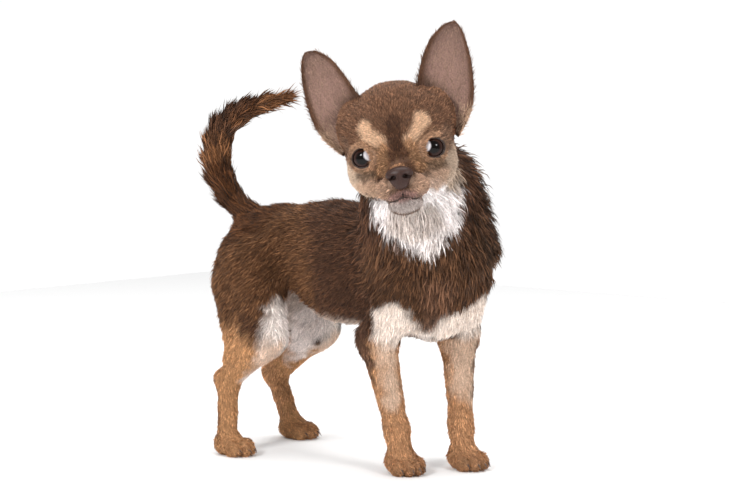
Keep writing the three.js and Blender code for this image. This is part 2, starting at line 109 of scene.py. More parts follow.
def unit(vectors: np.ndarray) -> np.ndarray:
    """Vectors scaled to length one."""
    return vectors / np.maximum(np.linalg.norm(vectors, axis=-1, keepdims=True), 1e-9)


class Frame:
    """A place on the body with its own axes: x the way it faces, y its left, z up."""

    def __init__(self, x: float, y: float, z: float = 0.0, heading: float = 0.0, roll: float = 0.0,
                 pitch: float = 0.0) -> None:
        """Turns by roll about x, then nose-up by pitch, then by heading about z.

        Args:
            x, y, z: where its origin stands, in millimetres.
            heading, roll, pitch: its turns, in degrees.
        """
        h, r, p = (math.radians(a) for a in (heading, roll, -pitch))
        about_z = np.array([[math.cos(h), -math.sin(h), 0], [math.sin(h), math.cos(h), 0], [0, 0, 1]])
        about_y = np.array([[math.cos(p), 0, math.sin(p)], [0, 1, 0], [-math.sin(p), 0, math.cos(p)]])
        about_x = np.array([[1, 0, 0], [0, math.cos(r), -math.sin(r)], [0, math.sin(r), math.cos(r)]])
        self.origin = np.array([x, y, z], dtype=float)
        self.turn = about_z @ about_y @ about_x

    def out(self, *place: float) -> np.ndarray:
        """A place given in this frame, in the body's plan."""
        return self.origin + self.turn @ np.array(place, dtype=float)

    def point_out(self, local: Points) -> Points:
        """Many places of this frame, in the body's plan."""
        return self.origin + local @ self.turn.T

    def way(self, *direction: float) -> np.ndarray:
        """A direction of this frame, in the body's plan."""
        return unit(self.turn @ np.array(direction, dtype=float))

    def into(self, points: Points) -> Points:
        """Places of the body's plan, in this frame."""
        return (points - self.origin) @ self.turn


# Where each stretch of the body stands, and which way it faces
PELVIS = Frame(-90, -5, heading=9)
LOIN = Frame(-18, 6, heading=-2)
CHEST = Frame(73, 5, heading=-18)
HEAD = Frame(100, -66, 247, heading=HEAD_HEADING, roll=HEAD_ROLL)
PAWS = {
    "front_right": (Frame(67, -18, heading=-20), PAW_WIDTH),
    "front_left": (Frame(92, 29, heading=-14), PAW_WIDTH),
    "hind_right": (Frame(-88, -44, heading=6), PAW_WIDTH - 2),
    "hind_left": (Frame(-101, 48, heading=10), PAW_WIDTH - 2),
}
TOES = (-1.5, -0.5, 0.5, 1.5)  # places across a paw, counted from its middle line
SIDES = (1, -1)  # left, right


def egg(base: Frame, centre: Sequence[float], radii: Sequence[float], pitch: float = 0.0,
        yaw: float = 0.0) -> Form:
    """An ellipsoid: how far a place is past its radii, put to scale by how steeply that grows there.

    Args:
        base: the frame that it lies in.
        centre, radii: its middle and its half sizes there.
        pitch, yaw: how far it is tipped up and turned in that frame, in degrees.

    Returns:
        A function that is negative inside and near to a distance outside.
    """
    local = Frame(*centre, heading=yaw, pitch=pitch)
    r = np.array(radii, dtype=float)

    def distance(points: Points) -> np.ndarray:
        """Near distance to the ellipsoid."""
        q = local.into(base.into(points)) / r
        near = np.sqrt((q * q).sum(1))
        steep = np.sqrt(((q / r) ** 2).sum(1))
        return near * (near - 1.0) / np.maximum(steep, 1e-6)

    return distance


def bar(a: Sequence[float], b: Sequence[float], r1: float, r2: float) -> Form:
    """A round cone with ball ends: a ball that goes from a to b as its radius goes from r1 to r2.

    Args:
        a, b: the middles of its ends.
        r1, r2: the radii there.

    Returns:
        A function that is negative inside.
    """
    start = np.array(a, dtype=float)
    along = np.array(b, dtype=float) - start
    length2 = float(along @ along)
    taper = r1 - r2
    slope = math.sqrt(max(length2 - taper * taper, 1e-6))

    def distance(points: Points) -> np.ndarray:
        """Distance to the nearest of the balls."""
        p = points - start
        s = p @ along
        side = np.sqrt(np.maximum((p * p).sum(1) - s * s / length2, 0.0))
        shift = side * taper / slope
        t = np.clip((s + shift * math.sqrt(length2)) / length2, 0.0, 1.0)
        d = p - t[:, None] * along
        return np.sqrt((d * d).sum(1)) - (r1 - taper * t)

    return distance


def blend(k: float, *forms: Form) -> Form:
    """Forms run together: the smaller distance, less up to a quarter of k where they are near."""

    def distance(points: Points) -> np.ndarray:
        """Soft union of the forms."""
        d = forms[0](points)
        for form in forms[1:]:
            e = form(points)
            h = np.maximum(k - np.abs(d - e), 0.0) / k
            d = np.minimum(d, e) - h * h * k / 4.0
        return d

    return distance


def hollowed(k: float, form: Form, cut: Form) -> Form:
    """A form with another taken out of it, with an edge k wide."""

    def distance(points: Points) -> np.ndarray:
        """Soft difference of the forms."""
        d, e = form(points), -cut(points)
        h = np.maximum(k - np.abs(d - e), 0.0) / k
        return np.maximum(d, e) + h * h * k / 4.0

    return distance


def noise(points: Points, size: float, seed: int = 0) -> np.ndarray:
    """A smooth random field between about -1 and 1: a sum of nine sine waves of random ways and phases.

    Args:
        points: where it is wanted.
        size: the width of its blotches, in millimetres.
        seed: which field.

    Returns:
        Its value at each point.
    """
    rng = np.random.default_rng(SEED + seed)
    ways = unit(rng.normal(size=(9, 3))) * rng.uniform(0.7, 1.6, (9, 1)) * (math.pi / size)
    return np.sin(points @ ways.T + rng.uniform(0, 2 * math.pi, 9)).sum(1) / 4.0


@dataclass(frozen=True)
class Anatomy:
    """The flesh as smooth forms, part by part, in the body's plan."""

    fore: dict = field(default_factory=lambda: {
        "right": ((10, -28, SHOULDER_HEIGHT), (-15.5, -36.5, ELBOW_HEIGHT), (-4, -26.5, WRIST_HEIGHT)),
        "left": ((12, 28, SHOULDER_HEIGHT), (-5, 31, ELBOW_HEIGHT), (2, 29, WRIST_HEIGHT)),
    })
    hind: dict = field(default_factory=lambda: {
        "right": ((22, -36, KNEE_HEIGHT), (0, -36, 84), (-10, -37, HOCK_HEIGHT)),
        "left": ((22, 43, KNEE_HEIGHT), (-6, 49, 86), (-24, 53, HOCK_HEIGHT - 6)),
    })
    tail: tuple = (
        (-6, 176, 15), (-16, 190, 14.5), (-29, 202, 14.5), (-39.5, 217, 15), (-44.5, 231, 15.5),
        (-45, 244, 15.5), (-42, 256, 15), (-33, 266, 14), (-21, 274, 12.5), (-4, 280, 10),
        (12, 284, 7), (24, 287, 3),
    )

    def trunk(self) -> Form:
        """Ribs, shoulders, loin and pelvis."""
        half = CHEST_WIDTH / 2
        return blend(
            16,
            egg(CHEST, (-26, 0, 154), (54, half - 2, 52)),
            egg(CHEST, (8, 0, 142), (27, 31, 40)),
            egg(CHEST, (-34, 0, 184), (36, 20, 25)),
            egg(LOIN, (0, 0, 168), (62, 31, 38)),
            egg(LOIN, (10, 0, 148), (54, 33, 40)),
            egg(PELVIS, (3, 0, 164), (33, 30, 32), -6),
            egg(PELVIS, (22, 0, 168), (34, 27, 31), -4),
            *(egg(PELVIS, (-10, s * 15, 144), (20, 18, 29), 8) for s in SIDES),
        )

    def eye(self, s: int) -> np.ndarray:
        """The middle of an eyeball, in the head's frame."""
        return np.array([-EYE_DEPTH, s * EYE_SPACING / 2, 0.0])

    def head(self) -> Form:
        """Skull, cheeks, muzzle, chin and the lids over the eyeballs."""
        cheek = HEAD_WIDTH / 2
        skull = blend(
            9,
            egg(HEAD, (-30, 0, 14), (37, cheek - 3, 39)),
            egg(HEAD, (-14, 0, 22), (20, 27, 24)),
            *(egg(HEAD, (-29, s * (cheek - 11), 22), (19, 13, 20)) for s in SIDES),
            *(egg(HEAD, (-28, s * (cheek - 19), -10), (23, 18, 20)) for s in SIDES),
            *(egg(HEAD, (-13, s * 20, 4), (15, 15, 14)) for s in SIDES),
        )
        muzzle = blend(
            5,
            bar(HEAD.out(-12, 0, -20), HEAD.out(10, 0, -18), 16, 10.5),
            *(egg(HEAD, (5, s * 9, -25), (14, 11, 8.5)) for s in SIDES),
            egg(HEAD, (2, 0, -37), (14, 13, 8.5)),
        )
        r = EYE_RADIUS + 1.3
        return blend(3, blend(6, skull, muzzle), *(egg(HEAD, self.eye(s), (r, r, r)) for s in SIDES))

    def neck(self) -> Form:
        """The neck, its throat and the ruff on its left."""
        return blend(
            14,
            bar((58, 6, 176), (71, -12, 222), 42, 37),
            bar((71, -12, 222), HEAD.out(-40, 0, -4), 37, 30),
            bar(CHEST.out(14, 0, 162), HEAD.out(-24, 0, -24), 30, 18),
            bar((90, 32, 172), (79, 17, 229), 23, 18),
        )

    def paw(self, name: str) -> Form:
        """Instep, pad and toes."""
        base, width = PAWS[name]
        toes = (egg(base, (11.5 - 2.4 * n * n, n * width * 0.245, 6.2), (8.5, width * 0.16, 7.4))
                for n in TOES)
        return blend(3.2, egg(base, (-3, 0, 8), (14, width / 2 - 1, 9.5)), *toes)

    def foreleg(self, side: str) -> Form:
        """Shoulder to paw."""
        shoulder, elbow, wrist = (CHEST.out(*p) for p in self.fore[side])
        foot = PAWS[f"front_{side}"][0].out(-4, 0, 12)
        return blend(7, blend(10, bar(shoulder, elbow, 18, 15), bar(elbow, wrist, 14.2, 9)),
                     bar(wrist, foot, 9.2, 10), self.paw(f"front_{side}"))

    def hind_leg(self, side: str) -> Form:
        """Hip to paw."""
        s = 1 if side == "left" else -1
        knee, calf, hock = (PELVIS.out(*p) for p in self.hind[side])
        hip, buttock = PELVIS.out(5, s * 20, HIP_HEIGHT), PELVIS.out(-10, s * 24, 134)
        foot, heel = PAWS[f"hind_{side}"][0].out(-6, 0, 12), hock + np.array([-7, 0, 2])
        thigh = blend(12, bar(hip, knee, 28, 19), bar(buttock, calf, 20, 11), bar(knee, hock, 18, 9.5))
        shank = blend(5, bar(hock, foot, 8.6, 8), bar(hock, heel, 7, 6))
        return blend(7, thigh, shank, self.paw(f"hind_{side}"))

    def tail_line(self) -> tuple[np.ndarray, np.ndarray]:
        """The places along the tail and the radius of the coat at each."""
        places = np.array([PELVIS.out(x, 0, z) for x, z, _ in self.tail])
        return places, np.array([r for _, _, r in self.tail])

    def tail_form(self, share: float = 1.0) -> Form:
        """The tail, with each radius taken times share."""
        line, radii = self.tail_line()
        return blend(2, *(bar(line[i], line[i + 1], share * radii[i], share * radii[i + 1])
                          for i in range(len(line) - 1)))

    def limbs(self) -> tuple[Form, ...]:
        """All four legs."""
        return (self.foreleg("right"), self.foreleg("left"), self.hind_leg("right"), self.hind_leg("left"))

    def flesh(self, tail_share: float = 1.0) -> Form:
        """The whole animal without its ears."""
        body = blend(10, blend(14, self.trunk(), *self.limbs()), self.neck())
        return blend(8, body, self.head(), self.tail_form(tail_share))


BODY = Anatomy()
FLESH = BODY.flesh()


def gradient(form: Form, points: Points, step: float = 0.25) -> np.ndarray:
    """The way in which a form's distance grows, from the difference of its values each side of a point."""
    out = np.empty_like(points)
    for axis in range(3):
        d = np.zeros(3)
        d[axis] = step
        out[:, axis] = (form(points + d) - form(points - d)) / (2 * step)
    return out


@dataclass(frozen=True)
class CoatDepth:
    """How far the coat stands off the skin, in millimetres."""

    body: float = 2.2
    face: float = 0.9
    leg: float = 1.1
    ruff: float = 3.6

    def at(self, points: Points) -> np.ndarray:
        """The depth of the coat at each place."""
        depth = np.full(len(points), self.body)
        depth += (self.ruff - self.body) * smooth(-BODY.neck()(points), -7, 1)
        depth += (self.leg - depth) * smooth(-points[:, 2], -112, -84)
        face = smooth(HEAD.into(points)[:, 0], -52, -22) * smooth(-BODY.head()(points), -6, 0)
        return depth + (self.face - depth) * face


DEPTH = CoatDepth()


def eye_frame(s: int) -> Frame:
    """The frame of the opening between the lids of one eye, facing out of it."""
    return Frame(*HEAD.out(*BODY.eye(s)), heading=HEAD_HEADING + s * 12, roll=HEAD_ROLL - s * 8)


def eye_passage(s: int) -> Form:
    """The opening between the lids: an oval rod straight out from the eyeball."""
    oval = eye_frame(s)

    def distance(points: Points) -> np.ndarray:
        """Distance to the rod, larger behind the ball's middle."""
        p = oval.into(points)
        across = (np.hypot(p[:, 1] / 8.1, p[:, 2] / 7.3) - 1.0) * 7.6
        return np.maximum(across, 2.0 - p[:, 0])

    return distance


MOUTH_LINE = ((-9, 24, -28), (3, 18, -33), (12, 9, -34.5), (17, 0, -32), (12, -9, -34.5), (3, -18, -33),
              (-9, -24, -28))
MOUTH_GROOVE = ((23, 0, -26), (19, 0, -30), (17, 0, -32.5))


def curve_through(places: Sequence[Sequence[float]], count: int) -> np.ndarray:
    """Points on a smooth line through places: each stretch is the cubic of its four nearest places."""
    p = np.array(places, dtype=float)
    padded = np.vstack([2 * p[0] - p[1], p, 2 * p[-1] - p[-2]])
    t = np.linspace(0, len(p) - 1 - 1e-9, count)
    i = t.astype(int)
    u = (t - i)[:, None]
    a, b, c, d = padded[i], padded[i + 1], padded[i + 2], padded[i + 3]
    square, cube = 2 * a - 5 * b + 4 * c - d, 3 * b - a - 3 * c + d
    return 0.5 * (2 * b + (c - a) * u + square * u ** 2 + cube * u ** 3)


def line_distance(points: Points, line: np.ndarray) -> np.ndarray:
    """Distance from each point to a line of short stretches."""
    best = np.full(len(points), 1e9)
    for a, b in zip(line[:-1], line[1:]):
        ab = b - a
        t = np.clip((points - a) @ ab / (ab @ ab), 0, 1)
        best = np.minimum(best, np.linalg.norm(points - a - t[:, None] * ab, axis=1))
    return best


def lid_rolls(points: Points) -> np.ndarray:
    """How far the skin round each eye stands out: a roll along the lid's edge, and a crease outside it."""
    out = np.zeros(len(points))
    for s in SIDES:
        p = eye_frame(s).into(points)
        ring = np.hypot(p[:, 1] / 1.1, p[:, 2])
        roll = 0.9 * np.exp(-(((ring - 8.6) / 1.5) ** 2)) - 0.7 * np.exp(-(((ring - 11.4) / 0.9) ** 2))
        above = 0.5 * np.exp(-(((ring - 13.4) / 1.4) ** 2)) * smooth(p[:, 2], -2, 6)
        out += (roll + above) * smooth(p[:, 0], -2, 3)
    return out


def skin_form() -> Form:
    """The skin: the flesh drawn in by the coat's depth, with eye sockets and the mouth's groove cut in."""
    mouth = HEAD.point_out(curve_through(MOUTH_LINE, 25))
    lids = [egg(HEAD, BODY.eye(s), (EYE_RADIUS + 1.1,) * 3) for s in SIDES]
    sockets = [(egg(HEAD, BODY.eye(s), (EYE_RADIUS + 0.25,) * 3), eye_passage(s)) for s in SIDES]
    thin = BODY.flesh(0.62)

    def distance(points: Points) -> np.ndarray:
        """Distance to the skin."""
        d = thin(points) + DEPTH.at(points)
        near = np.linalg.norm(points - HEAD.origin, axis=1) < HEAD_REACH
        p = points[near]
        e = d[near]
        for lid in lids:
            e = np.minimum(e, lid(p) + 0.15)
        e = e - lid_rolls(p)
        for ball, passage in sockets:
            e = hollowed(0.7, lambda q, e=e: e, ball)(p)
            e = hollowed(0.9, lambda q, e=e: e, passage)(p)
        groove = line_distance(p, mouth) - 0.9
        e = hollowed(1.0, lambda q, e=e: e, lambda q: groove)(p)
        d[near] = e
        return d

    return distance


def net(form: Form, xs: np.ndarray, ys: np.ndarray, zs: np.ndarray,
        band: float) -> tuple[np.ndarray, np.ndarray]:
    """Skins a form over a grid: a point in each cell that the surface crosses, the mean of its crossings.

    Args:
        form: negative inside.
        xs, ys, zs: the grid's lines.
        band: how far from the surface a coarse block may be and still be looked at closely.

    Returns:
        Points, and quads that face outward.
    """
    coarse = [np.unique(np.append(np.arange(0, len(a), 4), len(a) - 1)) for a in (xs, ys, zs)]
    cg = np.stack(np.meshgrid(xs[coarse[0]], ys[coarse[1]], zs[coarse[2]], indexing="ij"), -1)
    rough = form(cg.reshape(-1, 3)).reshape(cg.shape[:3])
    near = np.zeros(tuple(n - 1 for n in rough.shape), bool)
    for corner in np.ndindex(2, 2, 2):
        part = tuple(slice(i, n - 1 + i) for i, n in zip(corner, rough.shape))
        near |= np.abs(rough[part]) < band
    block = [np.clip(np.searchsorted(c, np.arange(len(a)), side="right") - 1, 0, len(c) - 2)
             for a, c in zip((xs, ys, zs), coarse)]
    value = np.where(rough[np.ix_(*block)] < 0, -band, band).astype(np.float32)
    grown = near.copy()
    for axis in range(3):
        grown |= np.roll(grown, 1, axis)
    wanted = np.nonzero(grown[np.ix_(*block)])
    pts = np.stack([xs[wanted[0]], ys[wanted[1]], zs[wanted[2]]], -1)
    chunks = np.array_split(pts, max(1, len(pts) // AT_ONCE))
    value[wanted] = np.concatenate([form(chunk) for chunk in chunks])
    full = value < 0
    shape = tuple(n - 1 for n in value.shape)
    total, count = np.zeros(shape + (3,), np.float32), np.zeros(shape, np.float32)
    lines = (xs, ys, zs)
    crossed = []
    for axis in range(3):
        lo = [slice(None)] * 3
        hi = [slice(None)] * 3
        lo[axis], hi[axis] = slice(0, -1), slice(1, None)
        a, b = value[tuple(lo)], value[tuple(hi)]
        at = np.nonzero(full[tuple(lo)] != full[tuple(hi)])
        t = a[at] / (a[at] - b[at])
        place = np.stack([lines[q][at[q]] for q in range(3)], -1)
        place[:, axis] += t * (lines[axis][at[axis] + 1] - lines[axis][at[axis]])
        crossed.append(at)
        others = [q for q in range(3) if q != axis]
        for i in (0, 1):
            for j in (0, 1):
                cell = [c.copy() for c in at]
                cell[others[0]] -= i
                cell[others[1]] -= j
                ok = np.all([(c >= 0) & (c < n) for c, n in zip(cell, shape)], axis=0)
                cell = tuple(c[ok] for c in cell)
                np.add.at(count, cell, 1)
                for q in range(3):
                    np.add.at(total[..., q], cell, place[ok, q])
    index = np.full(shape, -1)
    used = count > 0
    index[used] = np.arange(used.sum())
    points = total[used] / count[used][:, None]
    quads = []
    for axis in range(3):
        at = crossed[axis]
        b, c = (axis + 1) % 3, (axis + 2) % 3
        keep = (at[b] > 0) & (at[c] > 0) & (at[b] < shape[b]) & (at[c] < shape[c])
        at = [q[keep] for q in at]
        ring = []
        for db, dc in ((1, 1), (0, 1), (0, 0), (1, 0)):
            cell = list(at)
            cell[b] = at[b] - db
            cell[c] = at[c] - dc
            ring.append(index[tuple(cell)])
        ring = np.stack(ring, 1)
        flip = ~full[tuple(at)]
        ring[flip] = ring[flip][:, ::-1]
        quads.append(ring)
    return points.astype(float), np.concatenate(quads)


def settle(form: Form, points: Points, reach: float, rounds: int = 2) -> Points:
    """Moves points onto a form's surface along its slope, by at most reach each time."""
    for _ in range(rounds):
        g = gradient(form, points, 0.2)
        step = form(points)[:, None] * g / np.maximum((g * g).sum(1, keepdims=True), 0.2)
        far = np.linalg.norm(step, axis=1, keepdims=True)
        points = points - step * np.minimum(1.0, reach / np.maximum(far, 1e-9))
    return points


def steps(*stops: tuple[float, float]) -> np.ndarray:
    """Grid lines: each stop gives a stretch's start and the gap between its lines, and the last ends it."""
    out = [np.array([stops[0][0]])]
    for (a, gap), (b, _) in zip(stops[:-1], stops[1:]):
        n = max(1, round((b - a) / gap))
        out.append(a + (b - a) * np.arange(1, n + 1) / n)
    return np.concatenate(out)


@dataclass(frozen=True)
class Patch:
    """One marking of the coat: where it lies, its colour, and how soft and ragged its edge is."""

    form: Form
    colour: str
    edge: float = 5.0
    ragged: float = 3.0
    strength: float = 1.0


def body_markings() -> list[Patch]:
    """Chocolate over the trunk, with tan and cream legs, as seen from the ground colour up."""
    line, _ = BODY.tail_line()
    return [
        Patch(egg(PELVIS, (10, 0, 150), (70, 70, 60)), "69472d", 14, 6, 0.75),
        Patch(egg(CHEST, (10, 0, 150), (50, 60, 50)), "523723", 14, 6, 0.7),
        Patch(bar(line[1], line[-1], 40, 40), "4a2b14", 10, 3, 0.9),
        Patch(bar(line[3] + (-12, 0, 4), line[-1] + (0, 0, 14), 12, 10), "754e31", 8, 4, 0.8),
        Patch(egg(LOIN, (-2, 0, 104), (50, 26, 17)), "b6a294", 8, 5, 0.9),
        Patch(egg(PELVIS, (30, 0, 110), (34, 34, 23)), "cabab0", 12, 5, 0.9),
        Patch(bar(LOIN.out(40, -20, 112), LOIN.out(-20, -26, 118), 5, 5), "6b5243", 6, 4, 0.7),
    ]


def leg_markings() -> list[Patch]:
    """Tan legs with cream fronts and insides and a dark stripe down the back of each foreleg."""
    out = []
    chest, hip = CHEST.out, PELVIS.out
    for side, s in (("right", -1), ("left", 1)):
        _, elbow, wrist = (chest(*p) for p in BODY.fore[side])
        fore, hind = PAWS[f"front_{side}"][0], PAWS[f"hind_{side}"][0]
        y = s * 34 - 4
        out += [
            Patch(bar(elbow + (0, 0, -18), wrist + (0, 0, -60), 26, 30), "b98a63", 10, 4),
            Patch(bar(chest(8, y, 94), chest(4, y + 2, 60), 15, 9), "d9bda6", 12, 4, 0.9),
            Patch(bar(chest(-22, s * 48, 134), chest(-17, s * 52, 92), 15, 10), "5a3e2e", 6, 3, 0.95),
            Patch(bar(chest(-16, s * 52, 94), chest(-9, s * 47, 56), 10, 4), "634634", 5, 3, 0.9),
            Patch(egg(fore, (14, 0, 2), (9, 15, 9)), "a87b5a", 5, 2, 0.35),
            Patch(egg(PELVIS, (-4, s * 46, 36), (64, 32, 73)), "b98a60", 14, 5),
            Patch(bar(hip(40, s * 32, 116), hip(36, s * 44, 90), 13, 10), "fdf3ec", 12, 4, 0.95),
            Patch(bar(hip(36, s * 44, 90), hip(22, s * 40, 70), 10, 5), "e0c4ae", 10, 4, 0.9),
            Patch(bar(hip(32, s * 22, 106), hip(4, s * 32, 66), 16, 8), "eee3de", 10, 4, 0.95),
            Patch(bar(hip(-24, s * 44, 62), hind.out(-12, 0, 16), 10, 8), "9d7250", 6, 3, 0.8),
            Patch(egg(hind, (14, 0, 2), (9, 14, 9)), "a87b5a", 5, 2, 0.35),
        ]
    return out + [Patch(bar(chest(2, 44, 98), chest(6, 38, 60), 8, 3), "674a38", 5, 3, 0.85)]


def chest_markings() -> list[Patch]:
    """A white bib, two cream patches over the forelegs with a dark point between, and a white spot."""
    return [
        Patch(bar(CHEST.out(12, -41, 118), CHEST.out(16, -22, 100), 17, 14), "f5e6da", 9, 3.5),
        Patch(bar(CHEST.out(22, 28, 120), CHEST.out(27, 0, 115), 19, 15), "f5e6da", 10, 4),
        Patch(bar(CHEST.out(34, -14, 146), CHEST.out(24, -14, 120), 17, 6), "5e412f", 8, 3, 0.95),
        Patch(bar((88, 38, 178), (86, 30, 238), 17, 15), "3a2719", 12, 4, 0.85),
        Patch(bar(CHEST.out(30, 22, 206), CHEST.out(32, 37, 164), 9, 9), "3f2c1e", 8, 3, 0.85),
        Patch(egg(CHEST, (20, -12, 103), (12, 6, 9)), "efe4dd", 4, 3, 0.9),
        Patch(egg(CHEST, (24, -27, 216), (34, 30, 33)), "f6efed", 6, 3.5),
        Patch(bar(CHEST.out(40, -22, 192), CHEST.out(36, -27, 181), 9, 5), "ede4e0", 6, 3),
    ]


def head_markings() -> list[Patch]:
    """Chocolate skull, tan spots over the eyes, tan muzzle, cream cheeks and darker stripes about them, with
    painted light and shade on the cheeks, and painted shade under the eyes and under the chin.
    """
    out = [Patch(egg(HEAD, (-26, 0, 24), (52, 52, 46)), "6b4b37", 8, 3, 0.95)]
    for s in SIDES:
        out += [
            Patch(egg(HEAD, (-2, s * 25, -2), (20, 16, 15)), "86654c", 5, 2, 0.9),
            Patch(egg(HEAD, (-2, s * 25, 0), (16, 12.5, 12)), "a47e62", 3, 1, 0.8),
            Patch(egg(HEAD, (-8, s * 39, 4), (12, 7, 14)), "6f5341", 5, 3, 0.8),
            # Lit and shaded copies of the cheek's cream: the right cheek's patch is paler as painted light,
            # the left's darker as painted shade. The muzzle's patch below is also paler on the right than on
            # the left.
            Patch(egg(HEAD, (-26, s * 38, -17), (24, 14, 17)), "b09a86" if s > 0 else "cbb29b", 6, 3, 0.95),
            Patch(egg(HEAD, (-4, s * 24, -24), (18, 11, 10)), "b5967f" if s > 0 else "c8a68c", 6, 3, 0.9),
            # Painted shade under each eye, where the muzzle meets the cheek.
            Patch(egg(HEAD, (-3, s * 27, -12), (9, 10, 4)), "66503e", 3, 2, 0.8),
            Patch(bar(HEAD.out(2, s * 20.5, 21), HEAD.out(6, s * 10.5, 8), 5.6, 4.2), "d2ad8d", 5, 1.4),
            Patch(bar(HEAD.out(4, s * 9, 4), HEAD.out(-2, s * 13, -12), 3.5, 4), "a27a59", 3, 2, 0.9),
            Patch(egg(HEAD, (10, s * 11, -24), (10, 10, 8)), "ac8b74", 4, 2, 0.9),
            Patch(egg(HEAD, (11, s * 9, -32.5), (9, 9, 3)), "8f7468", 3, 1.5, 0.8),
        ]
    return out + [
        Patch(bar(HEAD.out(8, 0, 22), HEAD.out(5, 0, 2), 5.5, 4), "4b3122", 4, 2, 0.9),
        Patch(bar(HEAD.out(8, 0, -4), HEAD.out(14, 0, -9), 4.5, 6), "9c7354", 3, 2, 0.9),
        Patch(egg(HEAD, (-10, 0, -46), (30, 25, 12)), "d3c6be", 5, 2),
        Patch(egg(HEAD, (10, 0, -38), (16, 15, 5.5)), "b3a6a0", 3, 1, 0.95),
        # Painted shadow under the chin.
        Patch(bar(HEAD.out(6, -10, -45), HEAD.out(6, 10, -45), 7, 6), "5f4a3d", 3, 1, 0.9),
        Patch(egg(HEAD, (17, 0, -30), (7, 10, 4.5)), "8f6d66", 3, 1, 0.8),
    ]


RAGGEDNESS = 0.65  # what each patch's own raggedness is taken times


class Markings:
    """Gives the coat and the skin their colours, so that both carry the same markings."""

    def __init__(self, ground: str = "4a3020") -> None:
        """Keeps the ground colour and the patches over it."""
        self.ground = linear(ground)
        self.patches = body_markings() + leg_markings() + chest_markings() + head_markings()

    def at(self, points: Points) -> np.ndarray:
        """The colour at each place: each patch is mixed in by how far a place lies inside its ragged edge.

        Args:
            points: places in the body's plan.

        Returns:
            Linear colours.
        """
        colour = np.tile(self.ground, (len(points), 1))
        ragged = noise(points, 9, 3) + 0.6 * noise(points, 4, 4)
        for patch in self.patches:
            d = patch.form(points) + RAGGEDNESS * patch.ragged * ragged
            share = patch.strength * smooth(-d, -patch.edge / 2, patch.edge / 2)
            colour = toward(colour, patch.colour, share)
        return colour


